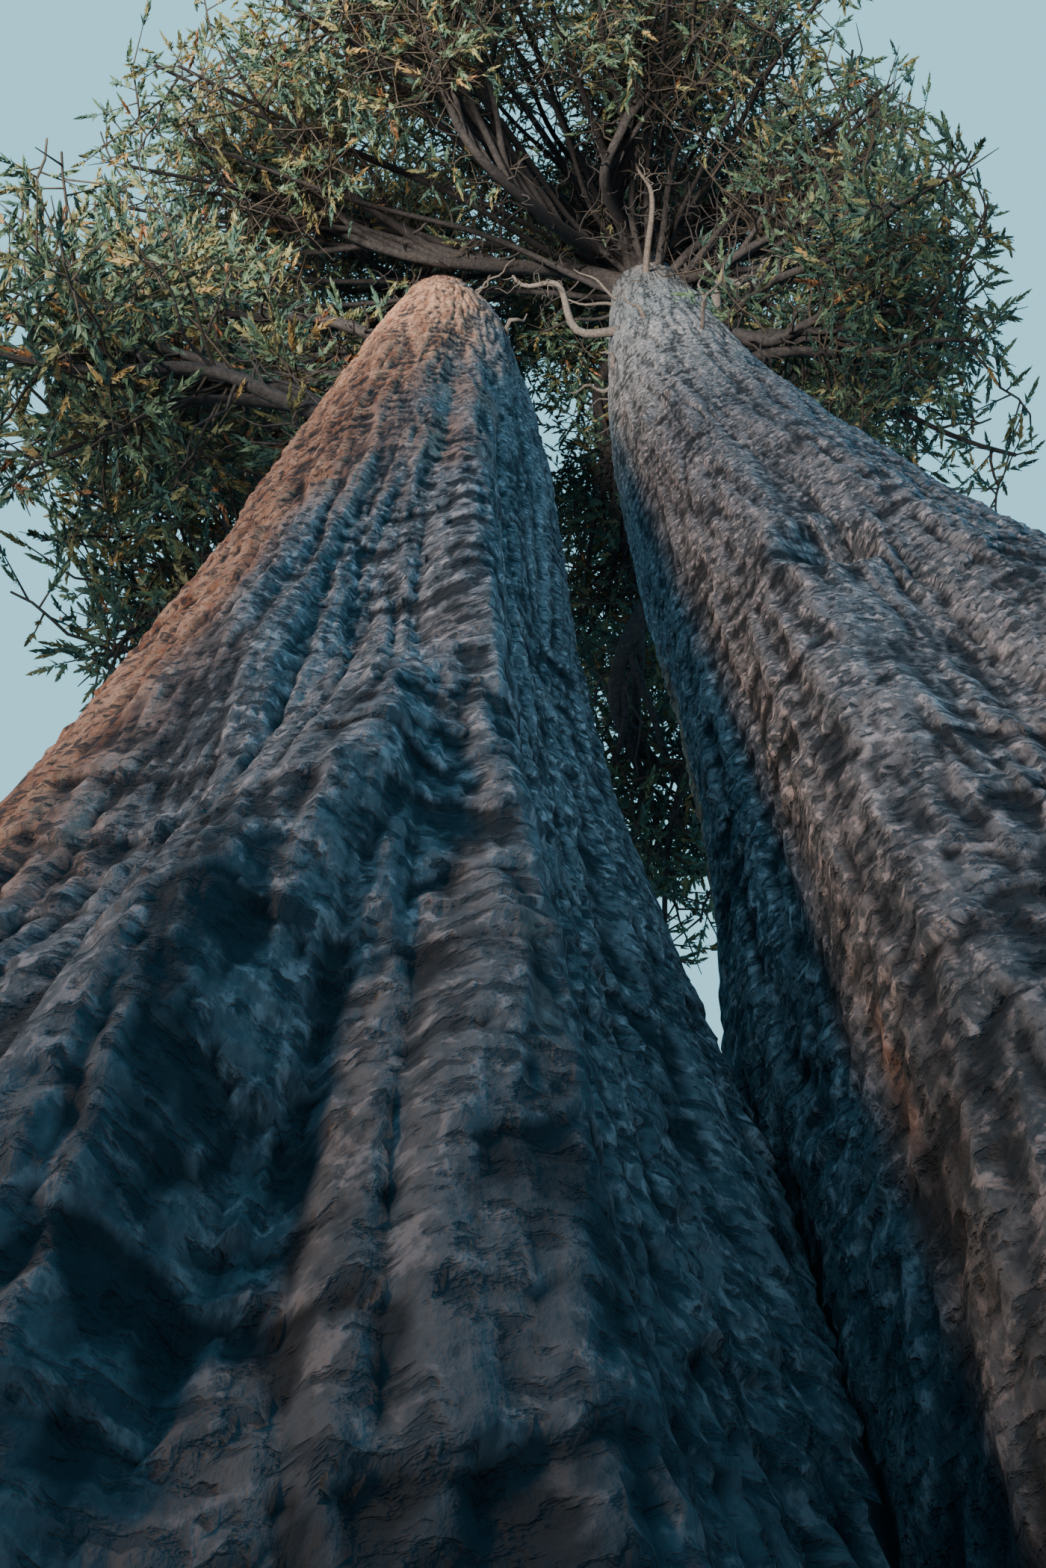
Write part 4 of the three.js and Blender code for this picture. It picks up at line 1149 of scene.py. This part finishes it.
# Which tint a spray gets: more olive, gold and rust towards the sun side, partly painted sunlight, and deeper
# green away from it, partly painted shade
sunSide = {"direction": (-0.85, -0.3, 0.42), "centreHeight": 44.0, "reach": 9.0, "flattening": 0.35,
           "middle": 0.42, "contrast": 0.5, "clumping": 0.22, "softness": 0.22}


def dealTints(sprays, rng):
    look = sunSide
    offset = (sprays[:, :3] - onCrownAxis(look["centreHeight"])) * [1, 1, look["flattening"]]
    sunny = offset @ unit(look["direction"]) / look["reach"]
    x, y, z = sprays[:, :3].T
    clump = np.sin(1.7 * x + 0.6 * z) * np.sin(1.5 * y - 0.5 * z + 1)
    clump += 0.6 * np.sin(2.9 * z + 1.1 * x) * np.sin(3.1 * y)
    chance = rng.normal(0, look["softness"], len(sprays))
    # partly painted sunlight: sprays towards the key light's side get the sunny tints
    sunny = np.clip(look["middle"] + look["contrast"] * sunny + look["clumping"] * clump + chance, 0, 1)
    shade = np.cumsum([tint["inShade"] for tint in needleTints.values()])
    sun = np.cumsum([tint["inSun"] for tint in needleTints.values()])
    limits = shade[None, :] * (1 - sunny[:, None]) + sun[None, :] * sunny[:, None]
    return (rng.uniform(0, limits[:, -1])[:, None] > limits).sum(axis=1)


# True for what would hang in the shade right under a bough
def underBough(places, lines):
    under = np.zeros(len(places), bool)
    for point in (point for line in lines for point in line[::2]):
        near = np.hypot(places[:, 0] - point[0], places[:, 1] - point[1]) < growth["clearWay"]
        under |= near & (places[:, 2] < point[2] + 0.2)
    return under


# The nodes that a group's pieces replace: its masses, and the boughs that carry them
def groupNodes(group):
    if group == "top":
        masses = [mass["name"] + "_foliage" for mass in stemMasses]
        return masses, masses
    ours = [name for name in sorted(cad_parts) if name.startswith(group)]
    return [[name for name in ours if name.endswith(end)] for end in ("_foliage", "_bough")]


def makeSprays(group, needles, masses, rng):
    sprays = np.concatenate(store[group, "sprays"])
    sprays = sprays[~underBough(sprays[:, :3], clearLines.get(group, []))]
    dealt = dealTints(sprays, rng)
    most = pieceLimit // spray["Clusters"]
    for order, tint in enumerate(needleTints):
        ours = sprays[dealt == order]
        for part in range(0, len(ours), most):
            name = f"{group}_{tint}_sprays" + (f"_{part // most + 1}" if part else "")
            sprayPiece(name, ours[part:part + most], tint, needles, masses, rng)


def makeCrown():
    sections = limbTree()
    needles = sprayTree()
    rng = np.random.default_rng(5)
    for group in [level["name"] for level in levels] + ["top"]:
        masses, boughs = groupNodes(group)
        for kind in ("boughs", "bare"):
            if (group, kind) in store:
                limbs = store[group, kind]
                limbPiece(f"{group}_{kind}", limbs, kind, "boughBark", sections, boughs)
        twigs = store[group, "twigs"]
        limbPiece(group + "_twigs", twigs, "twigs", "twigBark", sections, masses)
        makeSprays(group, needles, masses, rng)
    for kind in ("limbs", "twigs"):
        limbs = store["dead", kind]
        limbPiece("dead_" + kind, limbs, kind, "deadWood", sections, list(deadLimbs))


makeCrown()
print("crown made")

# Studio: a pale plaster floor and backdrop, a warm soft key low from the left front, cool light from all
# round, and a softbox with a grid, low beside the tree, that opens up the shade under the crown
studio = {
    "floor": "#D9D8D4", "floorRadius": 90, "floorDrop": 0.002,
    "floorFinish": {"roughness": 0.9, "specular": 0.5},
    "backdrop": "#93D3E6", "backdropStrength": 1.5, "ambient": "#4F9ABF", "ambientStrength": 1.85,
    "key": {"colour": "#FFC898", "energy": 2.4, "from": (-0.751, -0.507, 0.423), "size": 9},
    "softbox": {"colour": "#EFEFE6", "energy": 1800, "place": (-9.0, -11.0, 3.0), "aim": (-0.5, -1.0, 25.0),
                "size": 5.0, "spread": 46},
    "look": "AgX - Base Contrast",
}


def makeFloor():
    bpy.ops.mesh.primitive_circle_add(vertices=96, radius=studio["floorRadius"], fill_type="NGON")
    floor = bpy.context.active_object
    floor.name = "floor"
    floor.data.transform(Matrix.Translation((0, 0, -studio["floorDrop"])))
    plaster, nodeTree, shader = startMaterial("palePlaster", studio["floorFinish"])
    shader.inputs["Base Color"].default_value = linearColour(studio["floor"])
    floor.data.materials.append(plaster)


def makeWorld():
    world = bpy.data.worlds.new("studio")
    bpy.context.scene.world = world
    world.use_nodes = True
    nodeTree = world.node_tree
    nodeTree.nodes.clear()
    seen, lit = [addNode(nodeTree, "ShaderNodeBackground", None,
                         {"Color": linearColour(studio[name]), "Strength": studio[name + "Strength"]})
                 for name in ("backdrop", "ambient")]
    path = addNode(nodeTree, "ShaderNodeLightPath")
    mixed = addNode(nodeTree, "ShaderNodeMixShader", None,
                    {0: path.outputs["Is Camera Ray"], 1: lit, 2: seen})
    addNode(nodeTree, "ShaderNodeOutputWorld", None, {"Surface": mixed})


def hangLamp(name, kind, plan, towards):
    light = bpy.data.lights.new(name, kind)
    light.energy = plan["energy"]
    light.color = linearColour(plan["colour"])[:3]
    lamp = bpy.data.objects.new(name, light)
    lamp.rotation_euler = towards.to_track_quat("Z", "Y").to_euler()
    bpy.context.scene.collection.objects.link(lamp)
    return lamp, light


def makeStudio():
    makeFloor()
    bpy.context.scene.view_settings.look = studio["look"]
    makeWorld()
    lamp, light = hangLamp("key", "SUN", studio["key"], Vector(studio["key"]["from"]))
    light.angle = math.radians(studio["key"]["size"])
    plan = studio["softbox"]
    lamp, light = hangLamp("softbox", "AREA", plan, Vector(plan["place"]) - Vector(plan["aim"]))
    lamp.location = plan["place"]
    light.size = plan["size"]
    light.spread = math.radians(plan["spread"])


makeStudio()
print("studio made")
